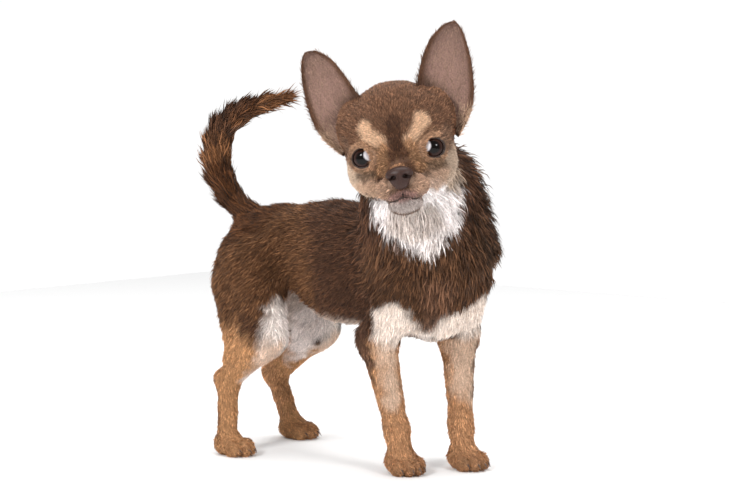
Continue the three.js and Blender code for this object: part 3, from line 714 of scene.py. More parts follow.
class Flow:
    """The lie of the coat: the ways of the nearest bones, weighted by how near they are."""

    def __init__(self) -> None:
        """Lists each stretch as where it starts, where it ends, and the way that its hair lies."""
        rows: list[tuple[np.ndarray, np.ndarray, np.ndarray]] = []

        def lay(a: np.ndarray, b: np.ndarray, way: np.ndarray | None = None) -> None:
            """Adds a stretch whose hair lies along it, or along way."""
            rows.append((a, b, unit(b - a) if way is None else unit(way)))

        lay(HEAD.out(18, 0, -6), HEAD.out(6, 0, 10), HEAD.way(-0.6, 0, 0.9))
        lay(HEAD.out(8, 0, 10), HEAD.out(-10, 0, 52), HEAD.way(-0.4, 0, 1))
        lay(HEAD.out(-12, 0, 54), HEAD.out(-60, 0, 30))
        for s in SIDES:
            lay(HEAD.out(20, s * 8, -20), HEAD.out(2, s * 20, -22), HEAD.way(-0.7, s * 0.7, -0.15))
            lay(HEAD.out(0, s * 26, -16), HEAD.out(-30, s * 44, -14), HEAD.way(-0.7, s * 0.5, -0.4))
            lay(HEAD.out(2, s * 18, 14), HEAD.out(-20, s * 38, 16), HEAD.way(-0.5, s * 0.7, 0.4))
            lay(HEAD.out(-10, s * 30, 36), HEAD.out(-36, s * 36, 30), HEAD.way(-0.5, s * 0.4, 0.5))
            lay(HEAD.out(-40, s * 40, -10), HEAD.out(-50, s * 36, -30), HEAD.way(-0.6, s * 0.1, -0.8))
        lay(HEAD.out(14, 0, -36), HEAD.out(-16, 0, -40), HEAD.way(-0.6, 0, -0.8))
        lay(HEAD.out(-64, 0, 10), np.array([30.0, 8, 214]), np.array([-0.5, 0.3, -1.0]))
        lay(HEAD.out(-14, 0, -46), CHEST.out(40, 0, 160), CHEST.way(0.2, 0, -1))
        for s in SIDES:
            lay(HEAD.out(-46, s * 36, -24), CHEST.out(0, s * 44, 176), CHEST.way(-0.3, s * 0.2, -1))
        lay(CHEST.out(44, 0, 150), CHEST.out(20, 0, 100), CHEST.way(-0.1, 0, -1))
        for s in SIDES:
            lay(CHEST.out(16, s * 38, 176), CHEST.out(4, s * 40, 112), CHEST.way(-0.25, s * 0.1, -1))
            lay(CHEST.out(-26, s * 40, 180), CHEST.out(-50, s * 38, 130), CHEST.way(-0.9, 0, -0.55))
            lay(LOIN.out(30, s * 34, 170), LOIN.out(-40, s * 32, 150), LOIN.way(-0.9, 0, -0.4))
            lay(PELVIS.out(20, s * 32, 175), PELVIS.out(-10, s * 34, 140), PELVIS.way(-0.6, 0, -0.8))
        lay(CHEST.out(-20, 0, 206), LOIN.out(0, 0, 206), LOIN.way(-1, 0, -0.05))
        lay(LOIN.out(0, 0, 206), PELVIS.out(0, 0, 198), LOIN.way(-1, 0, -0.1))
        lay(CHEST.out(0, 0, 100), LOIN.out(-30, 0, 116), LOIN.way(-0.9, 0, -0.45))
        lay(PELVIS.out(-34, 0, 170), PELVIS.out(-30, 0, 110), np.array([-0.15, 0, -1.0]))
        for side in BODY.fore:
            _, elbow, wrist = (CHEST.out(*p) for p in BODY.fore[side])
            toe = PAWS[f"front_{side}"][0]
            lay(elbow, wrist, wrist - elbow + np.array([0, 0, -30.0]))
            lay(wrist, toe.out(0, 0, 16), np.array([0, 0, -1.0]))
            lay(toe.out(0, 0, 14), toe.out(20, 0, 6), toe.way(1, 0, -0.5))
            knee, calf, hock = (PELVIS.out(*p) for p in BODY.hind[side])
            toe = PAWS[f"hind_{side}"][0]
            lay(knee + (0, 0, 20), calf, calf - knee + np.array([0, 0, -30.0]))
            lay(calf, hock)
            lay(hock, toe.out(-8, 0, 16), np.array([0, 0, -1.0]))
            lay(toe.out(-4, 0, 14), toe.out(20, 0, 6), toe.way(1, 0, -0.5))
        line, _ = BODY.tail_line()
        for a, b in zip(line[1:-1], line[2:]):
            lay(a, b)
        self.start, self.end, self.ways = (np.array(c) for c in zip(*rows))

    def at(self, points: Points) -> np.ndarray:
        """The lie of the coat at each place, before it is laid flat on the skin."""
        total = np.zeros_like(points)
        for a, b, way in zip(self.start, self.end, self.ways):
            ab = b - a
            t = np.clip((points - a) @ ab / (ab @ ab), 0, 1)
            near = np.linalg.norm(points - a - t[:, None] * ab, axis=1)
            total += way * (1.0 / (near + 3.0) ** 4)[:, None]
        return unit(total)


class Region(Enum):
    """Stretches of the body, each with an island of its own on the unwrap."""

    HEAD = 0
    NECK = 1
    TRUNK = 2
    FORE_RIGHT = 3
    FORE_LEFT = 4
    HIND_RIGHT = 5
    HIND_LEFT = 6
    TAIL = 7


def regions(points: Points) -> np.ndarray:
    """The region whose form each place is deepest in."""
    forms = [BODY.head(), BODY.neck(), BODY.trunk(), *BODY.limbs(), BODY.tail_form()]
    return np.argmin(np.stack([f(points) for f in forms], 1), 1)


def unwrap(points: Points, normals: np.ndarray, region: np.ndarray) -> np.ndarray:
    """Lays the surface out flat: an island for each region and each of the six ways that it can face.

    Args:
        points, normals, region: place, way out and region number.

    Returns:
        Places on the unit square.
    """
    axis = np.argmax(np.abs(normals), 1)
    rows = np.arange(len(points))
    side = axis * 2 + (normals[rows, axis] < 0)
    cell = region * 6 + side
    low = np.array([-155.0, -90.0, 0.0])
    high = np.array([145.0, 80.0, 320.0])
    share = (points - low) / (high - low)
    across = share[rows, (axis + 1) % 3]
    up = share[rows, (axis + 2) % 3]
    return np.stack([(cell % 7 + 0.03 + 0.94 * np.clip(across, 0, 1)) / 7,
                     (cell // 7 + 0.03 + 0.94 * np.clip(up, 0, 1)) / 7], 1)


def put(name: str, points: Points, faces: np.ndarray | list, material: bpy.types.Material,
        colours: np.ndarray | None = None, uv: np.ndarray | None = None,
        flat: bool = False) -> bpy.types.Object:
    """Makes an object of points in the body's plan, moved to its footprint's middle and turned to metres.

    Args:
        name: the piece's name.
        points: places in millimetres.
        faces: an array of equal faces, or a list of such arrays.
        material: its finish.
        colours: a linear colour for each point, if any.
        uv: a place on the unwrap for each point, or for each corner of each face.
        flat: whether its faces are left unsmoothed.

    Returns:
        The new object, in the scene.
    """
    groups = faces if isinstance(faces, list) else [faces]
    sizes = np.concatenate([np.full(len(g), g.shape[1], np.int32) for g in groups])
    corners = np.concatenate([g.ravel() for g in groups]).astype(np.int32)
    mesh = bpy.data.meshes.new(name)
    mesh.vertices.add(len(points))
    mesh.vertices.foreach_set("co", ((points - FOOTPRINT) * MM).astype(np.float32).ravel())
    mesh.loops.add(len(corners))
    mesh.loops.foreach_set("vertex_index", corners)
    mesh.polygons.add(len(sizes))
    starts = np.concatenate([[0], np.cumsum(sizes)[:-1]]).astype(np.int32)
    mesh.polygons.foreach_set("loop_start", starts)
    mesh.polygons.foreach_set("loop_total", sizes)
    mesh.update(calc_edges=True)
    mesh.polygons.foreach_set("use_smooth", np.full(len(sizes), not flat))
    if colours is not None:
        layer = mesh.color_attributes.new("coat_colour", "FLOAT_COLOR", "POINT")
        layer.data.foreach_set("color", np.c_[colours, np.ones(len(points))].astype(np.float32).ravel())
    if uv is not None:
        corner_uv = uv if len(uv) == len(corners) and len(uv) != len(points) else uv[corners]
        mesh.uv_layers.new(name="OFBake").data.foreach_set("uv", corner_uv.astype(np.float32).ravel())
    mesh.materials.append(material)
    piece = bpy.data.objects.new(name, mesh)
    bpy.context.scene.collection.objects.link(piece)
    log.info("%s: %d points, %d triangles", name, len(points), int((sizes - 2).sum()))
    return piece


def side_name(s: int) -> str:
    """The word for a side: 1 is the animal's left, -1 its right."""
    return "left" if s > 0 else "right"


def ring_quads(rings: int, around: int, closed: bool = False) -> np.ndarray:
    """Faces between rings of points that follow one another, the last meeting the first where closed."""
    i, j = np.meshgrid(np.arange(rings if closed else rings - 1), np.arange(around), indexing="ij")
    here, after = i * around, (i + 1) % rings * around
    k = (j + 1) % around
    return np.stack([here + j, here + k, after + k, after + j], -1).reshape(-1, 4)


def add_node(tree: bpy.types.NodeTree, kind: str, links: dict | None = None,
             **settings: object) -> bpy.types.Node:
    """Adds a node, sets its properties or input values by name, and links inputs to other outputs."""
    node = tree.nodes.new(kind)
    for key, value in settings.items():
        if hasattr(node, key):
            setattr(node, key, value)
        else:
            node.inputs[key.replace("_", " ")].default_value = value
    for key, source in (links or {}).items():
        tree.links.new(source, node.inputs[key])
    return node


def fresh(name: str) -> tuple[bpy.types.Material, bpy.types.NodeTree, bpy.types.Node]:
    """A new material with its tree and its Principled shader."""
    material = bpy.data.materials.new(name)
    material.use_nodes = True
    return material, material.node_tree, material.node_tree.nodes["Principled BSDF"]


def flecked_markings(tree: bpy.types.NodeTree, shader: bpy.types.Node, width_mm: float, detail: float,
                     low: float, high: float) -> bpy.types.Node:
    """Colours a shader by the markings, times a fleck.

    Args:
        tree, shader: the material's tree and its shader.
        width_mm, detail: how wide the fleck is, and how finely it is broken up.
        low, high: what the fleck goes between.

    Returns:
        The fleck's node.
    """
    colour = add_node(tree, "ShaderNodeAttribute", attribute_name="coat_colour")
    place = add_node(tree, "ShaderNodeTexCoord")
    fleck = add_node(tree, "ShaderNodeTexNoise", {"Vector": place.outputs["Object"]},
                     Scale=1 / (width_mm * MM), Detail=detail)
    tone = add_node(tree, "ShaderNodeMapRange", {"Value": fleck.outputs["Fac"]},
                    From_Min=0.3, From_Max=0.7, To_Min=low, To_Max=high)
    mixed = add_node(tree, "ShaderNodeVectorMath",
                     {0: colour.outputs["Color"], "Scale": tone.outputs["Result"]}, operation="SCALE")
    tree.links.new(mixed.outputs["Vector"], shader.inputs["Base Color"])
    return fleck


@dataclass(frozen=True)
class HairFinish:
    """Short dog hair: keratin with a faint gloss, coloured by the markings, each tuft a little its own."""

    name: str = "short_dog_hair"
    roughness: float = 0.6
    sheen: float = 0.03
    fleck_mm: float = 1.4

    def make(self) -> bpy.types.Material:
        """Builds the material: the markings times a fine fleck."""
        material, tree, shader = fresh(self.name)
        flecked_markings(tree, shader, self.fleck_mm, 2.0, 0.8, 1.2)
        shader.inputs["Roughness"].default_value = self.roughness
        shader.inputs["Specular IOR Level"].default_value = 0.18
        shader.inputs["Sheen Weight"].default_value = self.sheen
        shader.inputs["Sheen Roughness"].default_value = 0.5
        return material


@dataclass(frozen=True)
class SkinFinish:
    """Skin under short hair: the markings a little darker, with a bump as fine as the hair on it."""

    name: str = "haired_skin"
    hair_mm: float = 0.9
    bump_mm: float = 0.25

    def make(self) -> bpy.types.Material:
        """Builds the material."""
        material, tree, shader = fresh(self.name)
        hair = flecked_markings(tree, shader, self.hair_mm, 3.0, 0.6, 1.0)
        bump = add_node(tree, "ShaderNodeBump", {"Height": hair.outputs["Fac"]},
                        Strength=0.6, Distance=self.bump_mm * MM)
        tree.links.new(bump.outputs["Normal"], shader.inputs["Normal"])
        shader.inputs["Roughness"].default_value = 0.8
        return material


@dataclass(frozen=True)
class EyeFinish:
    """A wet eye: a clear gloss over a brown iris, a black pupil, and a white at the inner corner that is
    partly the white of the eye and partly a painted reflection.
    """

    name: str = "wet_eye"

    def make(self) -> bpy.types.Material:
        """Builds the material: colours are carried by the eyeball's points."""
        material, tree, shader = fresh(self.name)
        colour = add_node(tree, "ShaderNodeAttribute", attribute_name="coat_colour")
        tree.links.new(colour.outputs["Color"], shader.inputs["Base Color"])
        shader.inputs["Roughness"].default_value = 0.04
        shader.inputs["IOR"].default_value = 1.38
        shader.inputs["Specular IOR Level"].default_value = 0.3
        return material


@dataclass(frozen=True)
class LeatherFinish:
    """Bare moist skin of the nose: fine pebbles, half gloss, liver brown."""

    name: str = "nose_leather"
    colour: str = "27150f"
    light: str = "402720"
    pebble_mm: float = 0.8
    roughness: float = 0.42
    shaded: bool = False

    def make(self) -> bpy.types.Material:
        """Builds the material from cells as wide as the pebbles."""
        material, tree, shader = fresh(self.name)
        place = add_node(tree, "ShaderNodeTexCoord")
        cells = add_node(tree, "ShaderNodeTexVoronoi", {"Vector": place.outputs["Object"]},
                         Scale=1 / (self.pebble_mm * MM))
        tone = add_node(tree, "ShaderNodeMix", {"Factor": cells.outputs["Distance"]}, data_type="RGBA")
        tone.inputs["A"].default_value = (*linear(self.light), 1)
        tone.inputs["B"].default_value = (*linear(self.colour), 1)
        bump = add_node(tree, "ShaderNodeBump", {"Height": cells.outputs["Distance"]},
                        Strength=0.5, Distance=0.15 * MM)
        bump.invert = True
        colour = tone.outputs["Result"]
        # Where shaded, the colour is multiplied by coat_colour, which holds painted shade in the nostrils.
        if self.shaded:
            hollow = add_node(tree, "ShaderNodeAttribute", attribute_name="coat_colour")
            shade = add_node(tree, "ShaderNodeVectorMath", {0: colour, 1: hollow.outputs["Color"]},
                             operation="MULTIPLY")
            colour = shade.outputs["Vector"]
        tree.links.new(colour, shader.inputs["Base Color"])
        tree.links.new(bump.outputs["Normal"], shader.inputs["Normal"])
        shader.inputs["Roughness"].default_value = self.roughness
        shader.inputs["Specular IOR Level"].default_value = 0.3
        return material


@dataclass(frozen=True)
class HornFinish:
    """Claw horn: smooth keratin, dark brown with a paler streak along it."""

    name: str = "claw_horn"
    dark: str = "33251f"
    pale: str = "6d5546"

    def make(self) -> bpy.types.Material:
        """Builds the material from a stretched noise."""
        material, tree, shader = fresh(self.name)
        place = add_node(tree, "ShaderNodeTexCoord")
        streak = add_node(tree, "ShaderNodeTexNoise", {"Vector": place.outputs["Object"]},
                          Scale=1 / (3 * MM))
        tone = add_node(tree, "ShaderNodeMix", {"Factor": streak.outputs["Fac"]}, data_type="RGBA")
        tone.inputs["A"].default_value = (*linear(self.dark), 1)
        tone.inputs["B"].default_value = (*linear(self.pale), 1)
        tree.links.new(tone.outputs["Result"], shader.inputs["Base Color"])
        shader.inputs["Roughness"].default_value = 0.35
        return material


@dataclass
class Surface:
    """A skin to root hair on: its points, triangles and the way out at each point."""

    points: Points
    tris: np.ndarray
    normals: np.ndarray

    @classmethod
    def of(cls, points: Points, quads: np.ndarray) -> "Surface":
        """Splits quads in two and takes each point's normal as the mean of its faces' normals."""
        tris = np.concatenate([quads[:, [0, 1, 2]], quads[:, [0, 2, 3]]])
        a, b, c = (points[tris[:, i]] for i in range(3))
        face = np.cross(b - a, c - a)
        normals = np.zeros_like(points)
        for i in range(3):
            for axis in range(3):
                normals[:, axis] += np.bincount(tris[:, i], face[:, axis], len(points))
        return cls(points, tris, unit(normals))

    def scatter(self, density: np.ndarray, rng: np.random.Generator) -> tuple[np.ndarray, np.ndarray]:
        """Picks places at random, so many to the square millimetre.

        Args:
            density: how many are wanted at each point.
            rng: the source of chance.

        Returns:
            The triangle of each place, and the share of each of its corners.
        """
        a, b, c = (self.points[self.tris[:, i]] for i in range(3))
        want = np.linalg.norm(np.cross(b - a, c - a), axis=1) / 2 * density[self.tris].mean(1)
        total = int(want.sum())
        at = np.searchsorted(np.cumsum(want) / want.sum(), rng.uniform(size=total)).clip(0, len(want) - 1)
        u, v = rng.uniform(size=(2, total))
        over = u + v > 1
        u[over], v[over] = 1 - u[over], 1 - v[over]
        return at, np.stack([1 - u - v, u, v], 1)

    def mix(self, values: np.ndarray, at: np.ndarray, share: np.ndarray) -> np.ndarray:
        """Values of the points, mixed for each place from its triangle's corners."""
        corners = values[self.tris[at]]
        return (corners * (share if corners.ndim == 2 else share[:, :, None])).sum(1)


TUFT_PATCH = 0.003  # how wide each tuft's patch of the unwrap is
OVER_FLOOR = 0.1  # how far above the floor the lowest hair ends, in millimetres


def dress_tufts(name: str, points: Points, faces: np.ndarray, colour: np.ndarray, uv: np.ndarray, rows: int,
                hair: bpy.types.Material) -> None:
    """Makes one piece of the coat: darker at the roots with painted shade, paler at the tips, each tuft a
    patch of the unwrap.

    Args:
        name: the piece's name.
        points, faces: its tufts.
        colour, uv: the colour and the place on the unwrap of each tuft.
        rows: the rows of points in a tuft before its tip.
        hair: the hair's finish.
    """
    per = 2 * rows + 1
    along = np.concatenate([np.repeat(np.arange(rows), 2), [rows]]) / rows
    pale = smooth(colour.mean(1), 0.1, 0.6)[:, None]
    # Painted shade: each tuft's colour is darkened toward its root, down in the coat, and paler toward its
    # tip.
    root_shade_ramp = (0.5 + 0.38 * pale) * (1 - along) + (1.5 - 0.4 * pale) * along
    tint = np.repeat(colour, per, 0) * root_shade_ramp.reshape(-1, 1)
    patch = np.array([[i % 2, i // 2] for i in range(per)]) * TUFT_PATCH / (rows + 1)
    tuft_uv = np.repeat(uv, per, 0) + np.tile(patch, (len(colour), 1))
    points[:, 2] = np.maximum(points[:, 2], OVER_FLOOR)
    piece = put(name, points, faces, hair, tint, tuft_uv, flat=True)
    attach(piece, "root")


EAR_INNER = ((-18, 15, 32), (-24, 21, 48), (-28, 26, 63), (-32, 34, 77), (-34, 44, 86), (-35, 52, 89))
EAR_OUTER = ((-22, 44, 4), (-23, 54, 18), (-25, 59.5, 32), (-29, 61.5, 50), (-32, 61, 66), (-34, 58.5, 81),
             (-35, 54.5, 89))


@dataclass
class Ears:
    """Both ears: cupped leaves between an inner and an outer edge, open to the front."""

    wall: float = 1.3
    rows: int = 60
    across: int = 44
    lean: dict = field(default_factory=lambda: {1: 0.0, -1: 5.0})
    drawn: dict = field(default_factory=lambda: {1: 0.0, -1: 4.0})
    root: tuple = (38.0, 30.0)

    def edge(self, s: int, places: Sequence[Sequence[float]], flat: int) -> np.ndarray:
        """One edge of an ear as a smooth line, flatter where flat is 1, its tip as low as that ear's is."""
        p = np.array(places, dtype=float)
        high = np.maximum(0, (p[:, 2] - self.root[1]) / 59)
        p[:, 1] += flat * self.drawn[s] * np.sin(math.pi * high)
        p[:, 2] -= 0.8 * self.drawn[s] * high ** 2
        return curve_through(p, 200)

    def leaf(self, s: int, u: np.ndarray, w: np.ndarray, inset: float = 0.0) -> np.ndarray:
        """Places on an ear, in the head's frame.

        Args:
            s: 1 for the left ear, -1 for the right.
            u: from 0 at the root to 1 at the tip.
            w: from -1 at the inner edge to 1 at the outer edge.
            inset: how far behind the front face, as a share of the wall.

        Returns:
            The places: the middle of the two edges, plus w times half their span, bowed back by an arc.
        """
        inner, outer = self.edge(s, EAR_INNER, 1), self.edge(s, EAR_OUTER, 0)
        at = np.clip(u, 0, 1) * 199
        i = np.minimum(at.astype(int), 198)
        f = (at - i)[:, None]
        a = inner[i] * (1 - f) + inner[i + 1] * f
        b = outer[i] * (1 - f) + outer[i + 1] * f
        reach = (b - a) / 2
        span = np.linalg.norm(reach, axis=1)
        depth = (17 - 14 * u) * np.minimum(1, span / 6)
        bow = np.sqrt(np.maximum(1 - w * w, 0))
        p = (a + b) / 2 + reach * w[:, None]
        p[:, 0] -= depth * bow + inset * self.wall * (0.35 + 0.65 * bow) * (1.5 - 0.5 * u)
        p += unit(reach) * (w * self.wall * 0.25 * inset)[:, None]
        lean = math.radians(self.lean[s])
        y, z = p[:, 1] - self.root[0], p[:, 2] - self.root[1]
        p[:, 1] = self.root[0] + y * math.cos(lean) + z * math.sin(lean)
        p[:, 2] = self.root[1] + z * math.cos(lean) - y * math.sin(lean)
        p[:, 1] *= s
        return p

    def build(self, s: int, material: bpy.types.Material, hair: bpy.types.Material) -> None:
        """Makes the skin of one ear and the short hair over it.

        Args:
            s: 1 for the left ear, -1 for the right.
            material: the finish of its skin.
            hair: the finish of its hair.
        """
        rows, across = self.rows, self.across
        u = np.linspace(0.0, 1.0, rows + 1)
        w = -np.cos(np.linspace(0, math.pi, across + 1))
        uu, ww = np.meshgrid(u, np.concatenate([w, w[::-1]]), indexing="ij")
        u_all, w_all = uu.ravel(), ww.ravel()
        front = np.tile(np.arange(2 * (across + 1)) <= across, rows + 1)
        local = np.zeros((uu.size, 3))
        local[front] = self.leaf(s, u_all[front], w_all[front], 0.0)
        local[~front] = self.leaf(s, u_all[~front], w_all[~front], 1.0)
        n = 2 * (across + 1)
        quads = ring_quads(rows + 1, n)
        if s < 0:
            quads = quads[:, ::-1]
        caps = np.array([[c, c + 1, n - 2 - c, n - 1 - c] for c in range(across)])
        if s > 0:
            caps = caps[:, ::-1]
        quads = np.concatenate([quads, caps, caps[:, ::-1] + rows * n])
        world = HEAD.point_out(local)
        uv = np.stack([0.5 * u_all + 0.45 * (s < 0),
                       0.42 * (w_all + 1) / 2 + np.where(front, 0.02, 0.5)], 1)
        side = side_name(s)
        piece = put(f"ear_skin_{side}", world, quads, material, self.colours(u_all, w_all, front), uv)
        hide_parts(f"ear_{side}")
        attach(piece, "root")
        self.coat(s, world, quads[:-2 * across], u_all, w_all, front, hair)

    def coat(self, s: int, world: Points, quads: np.ndarray, u: np.ndarray, w: np.ndarray,
             front: np.ndarray, hair: bpy.types.Material) -> None:
        """Short hair on an ear: sparse inside the cup, close behind it, and a fringe along both edges.

        Args:
            s: 1 for the left ear, -1 for the right.
            world, quads: the ear's skin.
            u, w, front: how far up and across each point is, and whether it is in the cup.
            hair: the hair's finish.
        """
        rng = np.random.default_rng(SEED + 5 + s)
        surface = Surface.of(world, quads)
        n = 2 * (self.across + 1)
        up = unit(np.roll(world, -n, 0) - world)
        up[-n:] = up[-2 * n:-n]
        rim = smooth(np.abs(w), 0.8, 0.98)
        root = smooth(-u, -0.34, -0.12)
        density = np.where(front, 0.9 + 1.3 * rim + 0.9 * root, 1.7)
        spread = unit(world - world.mean(0))
        ways = unit(up + (0.7 * rim)[:, None] * spread)
        at, share = surface.scatter(density, rng)
        length = np.where(front, 3.4 + 1.0 * rim + 4.0 * root * (w < 0), 3.4)
        length = surface.mix(length * (1 - 0.6 * smooth(u, 0.85, 1)), at, share)
        colour = surface.mix(self.hair_colours(u, w, front), at, share)
        colour *= (1 + 0.16 * rng.normal(size=len(at)))[:, None].clip(0.5, 1.6)
        roots, normals = surface.mix(world, at, share), unit(surface.mix(surface.normals, at, share))
        flow = surface.mix(ways, at, share)
        vary = rng.uniform(0.7, 1.25, len(at))
        points, faces = blades(roots, normals, flow, length * vary, np.full(len(at), 0.38), 0.5 * vary,
                               rng, rows=2)
        uv = unwrap(roots, normals, np.full(len(at), 0 if s > 0 else 1)) + 0.004
        dress_tufts(f"coat_ear_{side_name(s)}", points, faces, colour, uv, 2, hair)

    def hair_colours(self, u: np.ndarray, w: np.ndarray, front: np.ndarray) -> np.ndarray:
        """Pale brown inside the cup, chocolate on the rims and behind, cream at the outer root."""
        colour = np.where(front[:, None], linear("937767"), linear("5e4131"))
        colour = toward(colour, "6d4a36", np.clip(smooth(np.abs(w), 0.7, 0.95) + smooth(u, 0.88, 1.0), 0, 1))
        colour = toward(colour, "c9a88e", smooth(-u, -0.3, -0.16) * smooth(w, 0.35, 0.8))
        return toward(colour, "5d4232", smooth(-u, -0.3, -0.1) * smooth(-w, -0.1, 0.4))

    def colours(self, u: np.ndarray, w: np.ndarray, front: np.ndarray) -> np.ndarray:
        """Greyish pink inside, brown at the rims and behind, with painted shade deep in the cup."""
        inside = toward(linear("a07c6f"), "84665a", smooth(u, 0.3, 0.9))
        back = np.tile(linear("5a3d2c"), (len(u), 1))
        colour = np.where(front[:, None], inside, back)
        colour = toward(colour, "6b4a36", np.clip(smooth(np.abs(w), 0.72, 0.95) + smooth(u, 0.9, 1.0), 0, 1))
        # Painted shade: the front of the ear is darkened deep in the cup, near its root and away from the
        # rims.
        cup_shade = smooth(-u, -0.32, -0.1) * smooth(-np.abs(w), -0.75, -0.2)
        return toward(colour, "4a3029", 0.8 * cup_shade * front)


def blades(roots: Points, normals: np.ndarray, ways: np.ndarray, length: np.ndarray, width: np.ndarray,
           rise: np.ndarray, rng: np.random.Generator, curl: float = 0.12, fan: float = 0.17,
           rows: int = 3) -> tuple[np.ndarray, np.ndarray]:
    """Tufts as thin tapered strips: each runs along the lie of the coat and rises by a falling arc.

    Args:
        roots, normals, ways: where each starts, the way out of the skin, and the lie of the coat.
        length, width, rise: its size, and how far its tip stands off the skin.
        rng: the source of its own turn and bend.
        curl: how far it bends sideways, as a share of its length.
        fan: how far it strays from the lie of the coat, in radians.
        rows: how many rows of two points it has before its tip.

    Returns:
        The points, (2 * rows + 1) for each tuft, and the triangles.
    """
    n = len(roots)
    flat = unit(ways - (ways * normals).sum(1, keepdims=True) * normals)
    side = np.cross(normals, flat)
    stray = rng.normal(0, fan, n)[:, None]
    flat, side = flat * np.cos(stray) + side * np.sin(stray), side * np.cos(stray) - flat * np.sin(stray)
    bend = rng.normal(0, curl, n)[:, None]
    roll = rng.uniform(-0.9, 0.9, n)[:, None]
    edge = side * np.cos(roll) + normals * np.sin(roll)
    points = np.empty((n, 2 * rows + 1, 3))
    for r in range(rows + 1):
        s = r / rows
        at = (roots - 0.25 * normals + flat * (length * s)[:, None]
              + normals * (rise * s * (2 - s))[:, None] + side * bend * (length * s * s)[:, None])
        if r == rows:
            points[:, -1] = at
        else:
            half = 0.5 * width * (0.75 + 0.5 * s - 0.9 * s * s)
            points[:, 2 * r] = at - edge * half[:, None]
            points[:, 2 * r + 1] = at + edge * half[:, None]
    faces = []
    for r in range(rows - 1):
        a = 2 * r
        faces += [(a, a + 1, a + 3), (a, a + 3, a + 2)]
    a = 2 * (rows - 1)
    faces.append((a, a + 1, a + 2))
    pattern = np.array(faces)
    tris = (np.arange(n)[:, None, None] * (2 * rows + 1) + pattern).reshape(-1, 3)
    return points.reshape(-1, 3), tris


